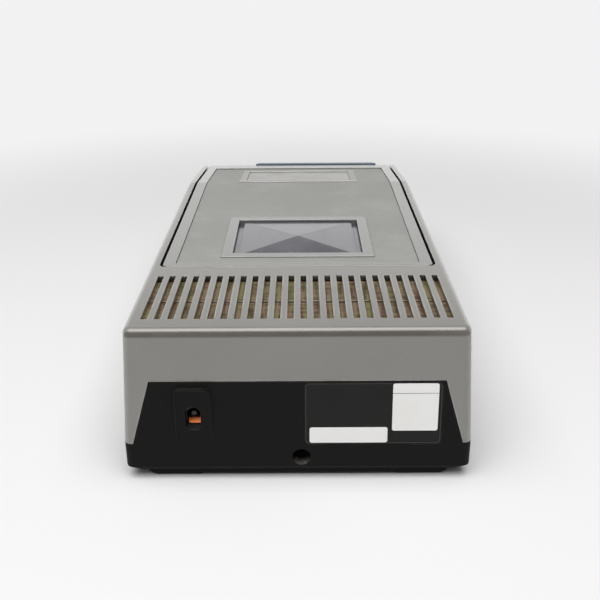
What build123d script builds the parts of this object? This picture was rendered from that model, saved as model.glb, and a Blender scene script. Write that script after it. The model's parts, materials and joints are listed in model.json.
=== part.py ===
from build123d import *
import os
from math import atan, cos, degrees, radians, sin, tan

# One-way video cassette rewinder. Millimetres, +Z up, the rear panel faces +Y. The origin lies on
# the surface that the rewinder stands on, under the middle of its box. Places along the length are
# given as a distance in front of the rear top edge, and y_at() turns them into a Y.

os.makedirs("parts", exist_ok=True)

# ---------------------------------------------------------------- driving dimensions: body
# The case is built round a cassette: its size is the cassette's, its well's and these rooms.
rear_room = 71.5  # from the rear top edge to the cassette well, for the grille and the motor
front_room = 16.0  # from the cassette well to the front top edge
side_room = 15.45  # from the cassette well to the side at the parting line
lid_room = 13.0  # from a seated cassette to the top
parting_height = 17.0  # between the grey housing and the black base
end_draft = 5.0
side_draft = 3.1
corner_radius = 3.2
rim_radius = 2.4
housing_wall = 2.4
slope_length = 72.7  # the top falls towards the front over this length
slope_angle = 6.4
bar_proud = 1.1  # how far the eject bar stands out past the parting line

# ---------------------------------------------------------------- driving dimensions: vent grille
slot_width = 2.6
slot_pitch = 5.27
slot_length = 45.2
slot_start = 9.5
grille_side = 5.5  # from the row of slots to the edge of the flat top
grille_rib_width = 0.8
grille_rib_depth = 0.6
grille_board_thickness = 1.2
grille_board_start = 3.6
grille_board_boss_gap = 0.5  # from the board to the screw bosses in front of it
grille_board_overlap = 1.2  # past the outer slots

# ---------------------------------------------------------------- driving dimensions: lid
lid_aperture_start = 65.3
lid_aperture_side = 4.1  # from the aperture to the edge of the flat top
lid_gap = 1.2
lid_thickness = 2.4
lid_corner_radius = 3.0
lid_edge_radius = 0.6
lid_seat_gap = 0.3  # between the lid and the top of the front wall
dress_recess = 1.1  # depth of the recess that the dress panel lies in
dress_thickness = 0.4
dress_side_border = 5.8
dress_rear_border = 4.0
dress_front_border = 14.0
trim_gap = 0.2  # round a trim piece let into the lid
skirt_thickness = 1.6
skirt_depth = 5.0
hinge_setback = 6.0  # from the lid's rear edge to the hinge axis
hinge_drop = 5.4  # from the lid's top to the hinge axis
hinge_pin_radius = 1.2
hinge_clearance = 0.05
hinge_lug_radius = 2.8
hinge_undercut = 1.6  # of the aperture's rear edge, for the swing of the lid's edge

# ---------------------------------------------------------------- driving dimensions: window, badge
bezel_width = 72.5
bezel_length = 60.0
bezel_start = 79.1
window_width = 63.0
window_length = 51.0
lens_gap = 0.3
lens_side_gap = 2.8  # between the raised part of the lens and the bezel, at the two sides
lens_flange = 3.2
lens_flange_thickness = 1.2
lens_edge_depth = 1.2  # lens edge below the bezel's top
lens_apex_depth = 0.2  # lens apex below the bezel's top
badge_width = 73.6
badge_length = 45.0
badge_setback = 3.7  # from the bend of the lid to the badge
badge_side_border = 4.4
badge_end_border = 3.6
badge_plate_thickness = 0.3

# ---------------------------------------------------------------- driving dimensions: base
base_floor = 2.5
base_edge_height = 3.2  # lower edge of the base's skirt
base_wall = 2.4
base_chamfer_side = 3.6
base_chamfer_end = 2.2
base_chamfer_height = 2.6
plinth_side_inset = 8.0
plinth_end_inset = 2.4
plinth_height = 1.4  # of the plinth's underside above the surface
plinth_radius = 4.0
foot_width = 24.0
foot_length = 14.0
foot_radius = 4.0
foot_recess = 0.9
foot_inset = 0.6  # from the plinth's edges
foot_screw_gap = 2.8  # between a front foot and the screw well in front of it
panel_top_height = 44.2  # black rear panel: a trapezoid
panel_top_inset = 11.7  # from the widest part of the side
panel_bottom_inset = 3.8
panel_gap = 0.3
jack_inset = 28.6  # from the widest part of the side to the middle of the jack
jack_axis_height = 28.5
jack_opening_top = 34.0
jack_opening_width = 6.3
jack_sill_height = 24.8  # lower edge of the opening at its inner end
jack_sill_drop = 1.3  # the sill slopes down by this much towards the outside
jack_sill_width = 4.4
jack_pad_width = 14.4
jack_pad_top = 41.3
jack_pad_back = 1.0  # from the rear top edge back to the pad's inner face
rear_screw_x = -1.5
rear_screw_height = 10.5
rear_recess_radius = 3.75
rear_screw_seat = 2.0  # distance of the rear screw's head seat
tongue_start = 4.2
tongue_width = 12.0
tongue_thickness = 2.0

# ---------------------------------------------------------------- driving dimensions: label
label_side = 0.8  # from the label to the black panel's slanted edge at its top
label_middle_height = 29.95
label_width = 55.1
label_height = 27.2
label_radius = 1.8
label_recess = 0.3
label_gap = 0.15
label_thickness = 0.2
sticker_thickness = 0.12
long_sticker_place = (-9.8, -9.4)  # from the label's middle, as seen from behind
long_sticker_width = 31.2
long_sticker_height = 6.8
square_sticker_place = (16.65, 2.75)
square_sticker_width = 18.2
square_sticker_height = 20.6
sticker_radius = 0.9

# ---------------------------------------------------------------- driving dimensions: cassette, reels
cassette_length = 188.0
cassette_width = 104.0
cassette_height = 25.0
cassette_clearance = 0.75
well_wall = 2.0
well_lid_gap = 5.6  # from the well's rim up to the lid's hinge axis
deck_height = 26.4  # top of the deck's floor
deck_thickness = 2.0
seat_rise = 1.6  # from the deck's floor to the underside of a seated cassette
reel_spacing = 92.4
reel_x = 5.5
reel_shaft_radius = 2.0
reel_clearance = 0.08
hub_sleeve_radius = 4.5
hub_flange_radius = 15.0
hub_flange_thickness = 1.4
hub_flange_lift = 0.8  # flange above the deck's floor
spindle_radius = 8.0
spline_radius = 10.8
spline_width = 2.0
spline_count = 6
spindle_height = 9.0
spindle_tip = 2.0
deck_hole_radius = 6.0

# ---------------------------------------------------------------- driving dimensions: drive
motor_x = -22.0
motor_distance = 33.0
motor_radius = 13.85
motor_length = 30.0
motor_shaft_radius = 1.0
motor_shaft_clearance = 0.05
bracket_height = 20.3
bracket_thickness = 1.5
bracket_length = 47.0
bracket_width = 32.0
bracket_radius = 4.0
motor_screw_spread = 38.0
belt_height = 16.0
belt_section = 1.6
belt_clearance = 0.3
wheel_groove_radius = 26.0
pulley_groove_radius = 3.5
groove_flange = 2.6
pulley_width = 6.0

# ---------------------------------------------------------------- driving dimensions: small parts
board_width = 56.0
board_length = 50.0
board_thickness = 1.6
board_height = 20.4  # underside of the circuit board
board_inset = 37.2  # from the widest part of the side to the board's middle
board_start = 2.0
screw_shank_radius = 1.2
screw_pilot_clearance = 0.05
screw_hole_radius = 1.6
screw_head_radius = 2.7
screw_head_height = 1.5
screw_slot_length = 2.6
screw_slot_width = 0.7
screw_slot_depth = 0.8
housing_screw_length = 14.0
housing_screw_inset = 14.2  # from the widest part of the side
deck_screw_length = 8.0
motor_screw_length = 8.0
board_screw_length = 7.0
rear_screw_length = 8.0
latch_x = -12.0
latch_arm_offset = 18.0
latch_arm_width = 8.0
latch_setback = 6.5  # from the front top edge to the latch's axis
latch_axis_height = 46.5
latch_pin_radius = 1.5
latch_clearance = 0.06
eject_bar_half = 39.0
eject_bar_slant = 3.0
eject_bar_gap = 0.5  # between the bar and the front wall
eject_bar_bottom = 46.5
eject_bar_top = 58.4
plunger_radius = 1.5
plunger_clearance = 0.3
plunger_rise = 2.6  # of the plunger's tip above a seated cassette's underside
plunger_travel = 2.6

# ---------------------------------------------------------------- places worked out from the sizes
end_slope = tan(radians(end_draft))
side_slope = tan(radians(side_draft))
seat_height = deck_height + seat_rise
total_height = seat_height + cassette_height + lid_room
inset = (total_height - parting_height) * end_slope
well_length = cassette_length + 2 * cassette_clearance
well_width = cassette_width + 2 * cassette_clearance
well_start = rear_room + well_wall
well_middle = well_start + well_length / 2
body_width = well_width + 2 * well_wall + 2 * side_room
top_width = body_width - 2 * (total_height - parting_height) * side_slope
top_length = well_start + well_length + well_wall + front_room
body_length = top_length + 2 * inset
body_y = bar_proud / 2
rear_top_y = body_y + body_length / 2 - inset
slope_start = top_length - slope_length
floor_height = base_edge_height + base_floor
board_underside = total_height - housing_wall - grille_rib_depth
slot_count = int((top_width - 2 * grille_side + slot_pitch - slot_width) / slot_pitch)
slot_row_width = (slot_count - 1) * slot_pitch + slot_width
grille_board_width = slot_row_width + 2 * grille_board_overlap
lid_aperture_width = top_width - 2 * lid_aperture_side
lid_width = lid_aperture_width - 2 * lid_gap
lid_rear = lid_aperture_start + lid_gap
lid_underside = total_height - lid_thickness
hinge_distance = lid_rear + hinge_setback
hinge_height = total_height - hinge_drop
well_top = hinge_height - well_lid_gap
plinth_width = body_width - 2 * plinth_side_inset
plinth_length = body_length - 2 * plinth_end_inset
panel_top_half = body_width / 2 - panel_top_inset
panel_bottom_half = body_width / 2 - panel_bottom_inset
label_middle_x = label_side + label_width / 2 - panel_top_half
jack_x = body_width / 2 - jack_inset
board_x = body_width / 2 - board_inset
latch_axis_distance = top_length - latch_setback
drive_distance = well_middle - reel_spacing / 2
idler_distance = well_middle + reel_spacing / 2
flange_height = deck_height + hub_flange_lift
spindle_base = flange_height + hub_flange_thickness
spindle_top = spindle_base + spindle_height


def y_at(distance):
    """Y of a point this far in front of the rear top edge."""
    return rear_top_y - distance


def rear_skin(height):
    """How far the rear surface lies in front of the rear top edge, which is less than nothing."""
    return -(total_height - height) * end_slope


def front_skin(height):
    """Distance of the front surface from the rear top edge at a height."""
    return top_length + (total_height - height) * end_slope


def top_skin(distance):
    """Height of the top surface, which falls in front of the bend."""
    return total_height - max(0.0, distance - slope_start) * tan(radians(slope_angle))


def side_profile(start, end, upper, lower):
    """Face in the YZ plane between two depths below the top surface, from start to end."""
    points = [(y_at(start), top_skin(start) - upper), (y_at(slope_start), total_height - upper)]
    points += [(y_at(end), top_skin(end) - upper), (y_at(end), top_skin(end) - lower)]
    points += [(y_at(slope_start), total_height - lower), (y_at(start), top_skin(start) - lower)]
    with BuildSketch(Plane.YZ) as profile:
        with BuildLine():
            Polyline(*points, close=True)
        make_face()
    return profile.sketch


def body_block(skin):
    """The drafted body above the parting line, as a block that lies skin inside its surface."""
    high = total_height - skin
    half_low = body_width / 2 - skin
    half_high = half_low - (high - parting_height) * side_slope
    rear_low, rear_high = [y_at(rear_skin(z)) - skin for z in (parting_height, high)]
    front_low, front_high = [y_at(front_skin(z)) + skin for z in (parting_height, high)]
    with BuildPart() as block:
        with BuildSketch(Plane.XZ):
            with BuildLine():
                Polyline(
                    (-half_low, parting_height),
                    (half_low, parting_height),
                    (half_high, high),
                    (-half_high, high),
                    close=True,
                )
            make_face()
        extrude(amount=body_length, both=True)
        with BuildSketch(Plane.YZ):
            with BuildLine():
                Polyline(
                    (front_low, parting_height),
                    (rear_low, parting_height),
                    (rear_high, high),
                    (front_high, high),
                    close=True,
                )
            make_face()
        extrude(amount=body_width, both=True, mode=Mode.INTERSECT)
        upright = block.edges().filter_by(lambda edge: edge.bounding_box().size.Z > 1)
        fillet(upright, corner_radius - skin if corner_radius > skin + 1 else 1.0)
        front = front_skin(parting_height)
        with BuildSketch(Plane.YZ):
            with BuildLine():
                Polyline(
                    (y_at(slope_start), total_height - skin),
                    (y_at(front), top_skin(front) - skin),
                    (y_at(front), total_height + 1),
                    (y_at(slope_start), total_height + 1),
                    close=True,
                )
            make_face()
        extrude(amount=body_width / 2, both=True, mode=Mode.SUBTRACT)
    return block.part


def rear_trapezoid(gap):
    """Block through the rear wall with the outline of the black panel, gap inside it."""
    lean = (panel_bottom_half - panel_top_half) / (panel_top_height - parting_height)
    bottom_half = panel_bottom_half - gap
    top_half = panel_top_half - gap
    outline = [(-bottom_half, parting_height), (bottom_half, parting_height)]
    outline += [(top_half, panel_top_height - gap), (-top_half, panel_top_height - gap)]
    if gap == 0:
        outline[0] = (-bottom_half - lean, parting_height - 1)
        outline[1] = (bottom_half + lean, parting_height - 1)
    depth = 2 * housing_wall + inset
    with BuildPart() as trapezoid:
        with BuildSketch(Plane.XZ.offset(-(body_y + body_length / 2 + 1))):
            with BuildLine():
                Polyline(*outline, close=True)
            make_face()
        extrude(amount=depth)
    return trapezoid.part


def keep(piece, name):
    """Label a finished piece and write its STEP file."""
    piece.part.label = name
    export_step(piece.part, f"parts/{name}.step")


# Screw posts and other places on the plan, as (x, distance in front of the rear top edge)
housing_screw_x = body_width / 2 - housing_screw_inset
rear_screws = (slot_start + slot_length + lid_aperture_start) / 2 - 1
boss_radius = 3.5
grille_board_end = rear_screws - boss_radius - grille_board_boss_gap
front_screws = top_length - latch_setback + 0.5
housing_screws_at = [
    (side * housing_screw_x, distance) for distance in (rear_screws, front_screws) for side in (-1, 1)
]
deck_screws_at = [
    (side * (cassette_width / 2 - 7), well_middle + end * (cassette_length / 2 - 14))
    for side in (-1, 1)
    for end in (-1, 1)
]
motor_screws_at = [(motor_x + side * motor_screw_spread / 2, motor_distance) for side in (-1, 1)]
board_middle = board_start + board_length / 2
board_screws_at = [
    (board_x + side * (board_width / 2 - 4), board_middle + end * (board_length / 2 - 6))
    for side in (-1, 1)
    for end in (-1, 1)
]
housing_seat = 12.0  # where the housing's screw bosses meet the base's wells
well_counterbore = 9.0  # height of the head seats in the wells
foot_x = plinth_width / 2 - foot_inset - foot_width / 2
foot_rear = rear_skin(parting_height) + plinth_end_inset + foot_inset + foot_length / 2
foot_front = front_screws - screw_head_radius - foot_screw_gap - foot_length / 2
feet_at = [(side * foot_x, distance) for side in (-1, 1) for distance in (foot_rear, foot_front)]

label_seat = Plane(
    origin=(label_middle_x, y_at(rear_skin(label_middle_height)), label_middle_height),
    x_dir=(-1, 0, 0),
    z_dir=(0, cos(radians(end_draft)), sin(radians(end_draft))),
).offset(-label_recess)


def plan(places):
    """Locations on the plan for a list of (x, distance) places."""
    return Locations(*[(x, y_at(distance)) for x, distance in places])


# ---------------------------------------------------------------- top housing
# Grey moulded shell, open below, with the vent grille, the lid's aperture and the rear notch.
front_wall_top = top_skin(top_length) - lid_thickness - lid_seat_gap
latch_slot_width = latch_arm_width + 1.0
ear_thickness = 3.0
ear_offset = latch_arm_offset + latch_arm_width / 2 + 1.0 + ear_thickness / 2
spring_shelf_height = 30.0

with BuildPart() as top_housing:
    add(body_block(0))
    crown = top_housing.faces().filter_by(lambda face: face.normal_at().Z > 0.9)
    rim = crown.edges().filter_by(lambda edge: abs(edge.center().Y - y_at(slope_start)) > 1)
    fillet(rim, rim_radius)
    add(body_block(housing_wall), mode=Mode.SUBTRACT)

    # lid aperture, open to the front, with an undercut behind for the lid's swing
    aperture_length = top_length + 2 * inset - lid_aperture_start
    with BuildSketch(Plane.XY.offset(total_height + 1)):
        with Locations((0, y_at(lid_aperture_start + aperture_length / 2))):
            RectangleRounded(lid_aperture_width, aperture_length, lid_corner_radius + lid_gap)
    extrude(amount=front_wall_top - total_height - 1, mode=Mode.SUBTRACT)
    swing_radius = lid_corner_radius + lid_gap + hinge_undercut
    with BuildSketch(Plane.XY.offset(total_height - housing_wall)):
        with Locations((0, y_at(lid_aperture_start - hinge_undercut + swing_radius + 0.5))):
            RectangleRounded(
                lid_aperture_width + 2 * hinge_undercut, 2 * swing_radius + 1, swing_radius
            )
    extrude(amount=hinge_undercut, taper=45, mode=Mode.SUBTRACT)

    # notch for the black rear panel
    add(rear_trapezoid(0), mode=Mode.SUBTRACT)

    # vent slots, with one rib across under the bars
    with BuildSketch(Plane.XY.offset(total_height)):
        with Locations((0, y_at(slot_start + slot_length / 2))):
            with GridLocations(slot_pitch, slot_length, slot_count, 1):
                Rectangle(slot_width, slot_length)
    extrude(amount=-housing_wall, mode=Mode.SUBTRACT)
    with BuildSketch(Plane.XY.offset(board_underside)):
        with Locations((0, y_at(slot_start + slot_length / 2))):
            Rectangle(grille_board_width, grille_rib_width)
    extrude(amount=grille_rib_depth)

    # screw bosses: the rear ones hang from the top, the front ones are ribbed to the front wall
    with BuildSketch(Plane.XY.offset(housing_seat)):
        with plan(housing_screws_at[:2]):
            Circle(boss_radius)
    extrude(amount=total_height - housing_wall / 2 - housing_seat)
    front_boss_top = 48.0
    with BuildSketch(Plane.XY.offset(housing_seat)):
        with plan(housing_screws_at[2:]):
            Circle(boss_radius)
    extrude(amount=front_boss_top - housing_seat)
    front_boss_distance = housing_screws_at[2][1]
    rib_length = front_skin(front_boss_top) - housing_wall / 2 - front_boss_distance
    with BuildSketch(Plane.XY.offset(parting_height + 3)):
        with plan([(x, distance + rib_length / 2) for x, distance in housing_screws_at[2:]]):
            Rectangle(housing_wall, rib_length)
    extrude(amount=front_boss_top - parting_height - 3)
    with BuildSketch(Plane.XY.offset(housing_seat)):
        with plan(housing_screws_at):
            Circle(screw_shank_radius + screw_pilot_clearance)
    extrude(amount=14.0, mode=Mode.SUBTRACT)

    # rear tongue, which the rear screw holds
    tongue_bottom = rear_screw_height - boss_radius
    with BuildSketch(Plane.XY.offset(tongue_bottom)):
        with plan([(rear_screw_x, tongue_start + tongue_thickness / 2)]):
            Rectangle(tongue_width, tongue_thickness)
    extrude(amount=total_height - housing_wall / 2 - tongue_bottom)
    with BuildSketch(Plane.XZ.offset(-y_at(tongue_start))):
        with Locations((rear_screw_x, rear_screw_height)):
            Circle(boss_radius)
    extrude(amount=8.0)
    with BuildSketch(Plane.XZ.offset(-y_at(tongue_start))):
        with Locations((rear_screw_x, rear_screw_height)):
            Circle(screw_shank_radius + screw_pilot_clearance)
    extrude(amount=8.0, mode=Mode.SUBTRACT)

    # hinge bosses inside the side walls
    hinge_boss_inner = lid_aperture_width / 2 + 0.2
    hinge_boss_outer = body_width / 2 - (hinge_height - parting_height) * side_slope
    hinge_boss_outer -= housing_wall / 2
    for side in (-1, 1):
        with BuildSketch(Plane.YZ.offset(side * hinge_boss_inner)):
            with Locations((y_at(hinge_distance), hinge_height)):
                Rectangle(2 * hinge_lug_radius, 2 * hinge_lug_radius)
        extrude(amount=side * (hinge_boss_outer - hinge_boss_inner))
        with BuildSketch(Plane.YZ.offset(side * hinge_boss_inner)):
            with Locations((y_at(hinge_distance), hinge_height)):
                Circle(hinge_pin_radius + hinge_clearance)
        extrude(amount=side * 2.4, mode=Mode.SUBTRACT)

    # latch: two slots for the arms, two ears for the pin and a shelf for the spring
    arm_low = latch_axis_height - 5.0
    arm_high = latch_axis_height + 4.0
    with BuildSketch(Plane.XZ.offset(-y_at(latch_axis_distance + 3))):
        for side in (-1, 1):
            with Locations((latch_x + side * latch_arm_offset, (arm_low + arm_high) / 2)):
                Rectangle(latch_slot_width, arm_high - arm_low)
    extrude(amount=20.0, mode=Mode.SUBTRACT)
    ear_reach = front_skin(latch_axis_height) - housing_wall / 2 - latch_axis_distance
    for side in (-1, 1):
        with BuildSketch(Plane.YZ.offset(latch_x + side * ear_offset)):
            with Locations((y_at(latch_axis_distance), latch_axis_height)):
                Circle(boss_radius)
            with Locations((y_at(latch_axis_distance + ear_reach / 2), latch_axis_height)):
                Rectangle(ear_reach, 2 * boss_radius)
            with Locations((y_at(latch_axis_distance), latch_axis_height)):
                Circle(latch_pin_radius, mode=Mode.SUBTRACT)
        extrude(amount=ear_thickness / 2, both=True)
    shelf_reach = front_skin(spring_shelf_height) - housing_wall / 2 - latch_axis_distance
    with BuildSketch(Plane.XY.offset(spring_shelf_height)):
        with plan([(latch_x, latch_axis_distance + shelf_reach / 2)]):
            Rectangle(10.0, shelf_reach)
    extrude(amount=-2.0)
keep(top_housing, "top_housing")

# ---------------------------------------------------------------- bottom housing
# Black moulded tray: the rear panel, the plinth, and posts for all that stands on its floor.
with BuildPart() as rear_panel:
    add(body_block(0))
    add(body_block(housing_wall), mode=Mode.SUBTRACT)
    add(rear_trapezoid(panel_gap), mode=Mode.INTERSECT)

skirt_bottom = base_edge_height + base_chamfer_height
drive_post_top = 11.0
idler_post_top = 20.0
screw_well_radius = 5.0
pad_depth = -rear_skin(parting_height)

with BuildPart() as bottom_housing:
    with BuildSketch(Plane.XY.offset(skirt_bottom)):
        with Locations((0, body_y)):
            RectangleRounded(body_width, body_length, corner_radius)
    extrude(amount=parting_height - skirt_bottom)
    with BuildSketch(Plane.XY.offset(skirt_bottom)):
        with Locations((0, body_y)):
            RectangleRounded(body_width, body_length, corner_radius)
    with BuildSketch(Plane.XY.offset(base_edge_height)):
        with Locations((0, body_y)):
            RectangleRounded(
                body_width - 2 * base_chamfer_side,
                body_length - 2 * base_chamfer_end,
                corner_radius,
            )
    loft(ruled=True)
    with BuildSketch(Plane.XY.offset(plinth_height)):
        with Locations((0, body_y)):
            RectangleRounded(plinth_width, plinth_length, plinth_radius)
    extrude(amount=base_edge_height - plinth_height)
    with BuildSketch(Plane.XY.offset(floor_height)):
        with Locations((0, body_y)):
            RectangleRounded(
                body_width - 2 * base_wall, body_length - 2 * base_wall, corner_radius - base_wall
            )
    extrude(amount=parting_height - floor_height, mode=Mode.SUBTRACT)
    add(rear_panel.part)

    # raised pad round the jack, in line with the skirt below it
    with BuildSketch(Plane.XZ.offset(-y_at(-pad_depth))):
        with Locations((jack_x, (jack_pad_top + parting_height) / 2)):
            Rectangle(jack_pad_width, jack_pad_top - parting_height)
    extrude(amount=pad_depth - jack_pad_back)
    pad_top = bottom_housing.edges().filter_by(Axis.Y).filter_by(
        lambda edge: abs(edge.center().Z - jack_pad_top) < 0.1
    )
    fillet(pad_top, 2.0)

    # opening for the plug: a round head over a straight throat, with a sloped sill
    jack_head_height = jack_opening_top - jack_opening_width / 2
    throat_height = jack_head_height - jack_sill_height
    with BuildSketch(Plane.XZ.offset(-y_at(-pad_depth - 1))):
        with Locations((jack_x, jack_head_height)):
            Circle(jack_opening_width / 2)
        with Locations((jack_x, jack_sill_height + throat_height / 2)):
            Rectangle(jack_opening_width, throat_height)
    extrude(amount=pad_depth + housing_wall + 2, mode=Mode.SUBTRACT)
    with BuildSketch(Plane.YZ.offset(jack_x)):
        with BuildLine():
            Polyline(
                (y_at(-jack_pad_back), jack_sill_height + 0.1),
                (y_at(-jack_pad_back), jack_sill_height),
                (y_at(-pad_depth), jack_sill_height - jack_sill_drop),
                (y_at(-pad_depth - 1), jack_sill_height - jack_sill_drop),
                (y_at(-pad_depth - 1), jack_sill_height + 0.1),
                close=True,
            )
        make_face()
    extrude(amount=jack_sill_width / 2, both=True, mode=Mode.SUBTRACT)

    # shallow recess for the label
    with BuildSketch(label_seat):
        RectangleRounded(label_width, label_height, label_radius)
    extrude(amount=2 * label_recess, mode=Mode.SUBTRACT)

    # posts and screw wells on the floor
    posts = [
        ([(reel_x, drive_distance)], 5.5, drive_post_top, reel_shaft_radius),
        ([(reel_x, idler_distance)], 5.5, idler_post_top, reel_shaft_radius),
        (deck_screws_at, 3.5, deck_height - deck_thickness, screw_shank_radius + screw_pilot_clearance),
        (motor_screws_at, 3.5, bracket_height, screw_shank_radius + screw_pilot_clearance),
        (board_screws_at, 3.0, board_height, screw_shank_radius + screw_pilot_clearance),
        (housing_screws_at, screw_well_radius, housing_seat, screw_hole_radius),
    ]
    for places, radius, top, hole in posts:
        with BuildSketch(Plane.XY.offset(floor_height)):
            with plan(places):
                Circle(radius)
        extrude(amount=top - floor_height)
        with BuildSketch(Plane.XY.offset(top)):
            with plan(places):
                Circle(hole)
        extrude(amount=-(top - floor_height), mode=Mode.SUBTRACT)
    with BuildSketch(Plane.XY.offset(plinth_height)):
        with plan(housing_screws_at):
            Circle(screw_head_radius + 0.5)
    extrude(amount=well_counterbore - plinth_height, mode=Mode.SUBTRACT)

    # stiffening ribs across the floor
    rib_height = 3.0
    with BuildSketch(Plane.XY.offset(floor_height)):
        for distance in (rear_room - 1.5, drive_distance + 38, idler_distance - 22, idler_distance + 26):
            with Locations((0, y_at(distance))):
                Rectangle(body_width - 2 * base_wall, 1.4)
    extrude(amount=rib_height)

    # rear screw: an inner boss, and the recess that is seen from behind
    with BuildSketch(Plane.XZ.offset(-y_at(rear_skin(parting_height)))):
        with Locations((rear_screw_x, rear_screw_height)):
            Circle(rear_recess_radius + 0.7)
    extrude(amount=tongue_start - 0.3 - rear_skin(parting_height))
    with BuildSketch(Plane.XZ.offset(-y_at(rear_skin(parting_height)))):
        with Locations((rear_screw_x, rear_screw_height)):
            Circle(rear_recess_radius)
    extrude(amount=rear_screw_seat - rear_skin(parting_height), mode=Mode.SUBTRACT)
    with BuildSketch(Plane.XZ.offset(-y_at(rear_skin(parting_height)))):
        with Locations((rear_screw_x, rear_screw_height)):
            Circle(screw_hole_radius)
    extrude(amount=pad_depth + tongue_start, mode=Mode.SUBTRACT)

    # shallow seats for the four feet
    with BuildSketch(Plane.XY.offset(plinth_height)):
        with plan(feet_at):
            RectangleRounded(foot_width, foot_length, foot_radius)
    extrude(amount=foot_recess, mode=Mode.SUBTRACT)
keep(bottom_housing, "bottom_housing")

# ---------------------------------------------------------------- feet
# Four moulded rubber pads, glued in the plinth's seats and narrower where they stand.
with BuildPart() as feet:
    with BuildSketch(Plane.XY.offset(plinth_height + foot_recess)):
        with plan(feet_at):
            RectangleRounded(foot_width - 0.4, foot_length - 0.4, foot_radius - 0.2)
    extrude(amount=-(plinth_height + foot_recess), taper=6)
keep(feet, "feet")

# ---------------------------------------------------------------- grille board
with BuildPart() as grille_board:
    with BuildSketch(Plane.XY.offset(board_underside)):
        with Locations((0, y_at((grille_board_start + grille_board_end) / 2))):
            Rectangle(grille_board_width, grille_board_end - grille_board_start)
        notch_depth = tongue_start + tongue_thickness + 0.5 - grille_board_start
        with Locations((rear_screw_x, y_at(grille_board_start + notch_depth / 2))):
            Rectangle(tongue_width + 1.0, notch_depth, mode=Mode.SUBTRACT)
    extrude(amount=-grille_board_thickness)
keep(grille_board, "grille_board")

# ---------------------------------------------------------------- lid shell
# Grey moulded plate that follows the top of the body, with a recess for the dress panel, side
# skirts, hinge lugs and two latch tabs.
lid_front = top_length + 0.6
lug_spans = [(lid_width / 2 - 5.0, lid_width / 2 - 0.5), (lid_width / 2 - 18.0, lid_width / 2 - 15.4)]
skirt_start = hinge_distance + hinge_lug_radius + 4.9
tab_start = latch_axis_distance - 6.0
skirt_end = tab_start - 6.5
tab_thickness = 2.0
tab_low = latch_axis_height + 3.6
lip_reach = latch_axis_distance - 0.5
lip_thickness = 1.9
dress_start = lid_rear + dress_rear_border
dress_end = lid_front - dress_front_border
dress_half = lid_width / 2 - dress_side_border
window_middle = bezel_start + bezel_length / 2

with BuildPart() as lid_shell:
    extrude(side_profile(lid_rear, lid_front, 0, lid_thickness), amount=lid_width / 2, both=True)
    rear_corners = lid_shell.edges().filter_by(Axis.Z).group_by(Axis.Y)[-1]
    fillet(rear_corners, lid_corner_radius)
    lid_top = lid_shell.faces().filter_by(lambda face: face.normal_at().Z > 0.9)
    lid_rim = lid_top.edges().filter_by(lambda edge: abs(edge.center().Y - y_at(slope_start)) > 1)
    fillet(lid_rim, lid_edge_radius)
    extrude(
        side_profile(dress_start, dress_end, -1, dress_recess),
        amount=dress_half,
        both=True,
        mode=Mode.SUBTRACT,
    )
    with BuildSketch(Plane.XY.offset(lid_underside)):
        with Locations((0, y_at(window_middle))):
            Rectangle(window_width, window_length)
    extrude(amount=lid_thickness, mode=Mode.SUBTRACT)

    # side skirts
    for side in (-1, 1):
        skirt_inner = side * (lid_width / 2 - 0.2 - skirt_thickness)
        extrude(
            side_profile(
                skirt_start, skirt_end, lid_thickness - 0.2, lid_thickness + skirt_depth
            ).moved(Location((skirt_inner, 0, 0))),
            amount=side * skirt_thickness,
        )

    # hinge lugs
    for side in (-1, 1):
        for inner, outer in lug_spans:
            with BuildSketch(Plane.YZ.offset(side * inner)):
                with Locations((y_at(hinge_distance), hinge_height)):
                    Circle(hinge_lug_radius)
                with Locations((y_at(hinge_distance), (hinge_height + lid_underside) / 2)):
                    Rectangle(2 * hinge_lug_radius, lid_underside - hinge_height)
                with Locations((y_at(hinge_distance), hinge_height)):
                    Circle(hinge_pin_radius, mode=Mode.SUBTRACT)
            extrude(amount=side * (outer - inner))

    # latch tabs: a plate that hangs from the lid, with a lip towards the front
    for side in (-1, 1):
        with BuildSketch(Plane.YZ.offset(latch_x + side * latch_arm_offset)):
            with BuildLine():
                Polyline(
                    (y_at(tab_start), top_skin(tab_start) - lid_thickness + 0.5),
                    (y_at(tab_start), tab_low),
                    (y_at(lip_reach), tab_low),
                    (y_at(lip_reach), tab_low + lip_thickness),
                    (y_at(tab_start + tab_thickness), tab_low + lip_thickness),
                    (y_at(tab_start + tab_thickness), top_skin(tab_start) - lid_thickness + 0.5),
                    close=True,
                )
            make_face()
        extrude(amount=latch_arm_width / 2, both=True)
keep(lid_shell, "lid_shell")

# ---------------------------------------------------------------- lid dress panel
# Thin plate let into the lid, open round the window's bezel and the badge.
slope_normal = (0, -sin(radians(slope_angle)), cos(radians(slope_angle)))
badge_middle = slope_start + badge_setback + badge_length / 2
dress_floor = Plane(
    origin=(0, y_at(badge_middle), top_skin(badge_middle) - dress_recess),
    x_dir=(1, 0, 0),
    z_dir=slope_normal,
)

with BuildPart() as lid_panel:
    extrude(
        side_profile(
            dress_start + trim_gap, dress_end - trim_gap, dress_recess - dress_thickness, dress_recess
        ),
        amount=dress_half - trim_gap,
        both=True,
    )
    with BuildSketch(Plane.XY.offset(lid_underside)):
        with Locations((0, y_at(window_middle))):
            Rectangle(bezel_width + 2 * trim_gap, bezel_length + 2 * trim_gap)
    extrude(amount=lid_thickness, mode=Mode.SUBTRACT)
    with BuildSketch(dress_floor):
        Rectangle(badge_width + 2 * trim_gap, badge_length + 2 * trim_gap)
    extrude(amount=dress_recess, both=True, mode=Mode.SUBTRACT)
keep(lid_panel, "lid_panel")

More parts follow.
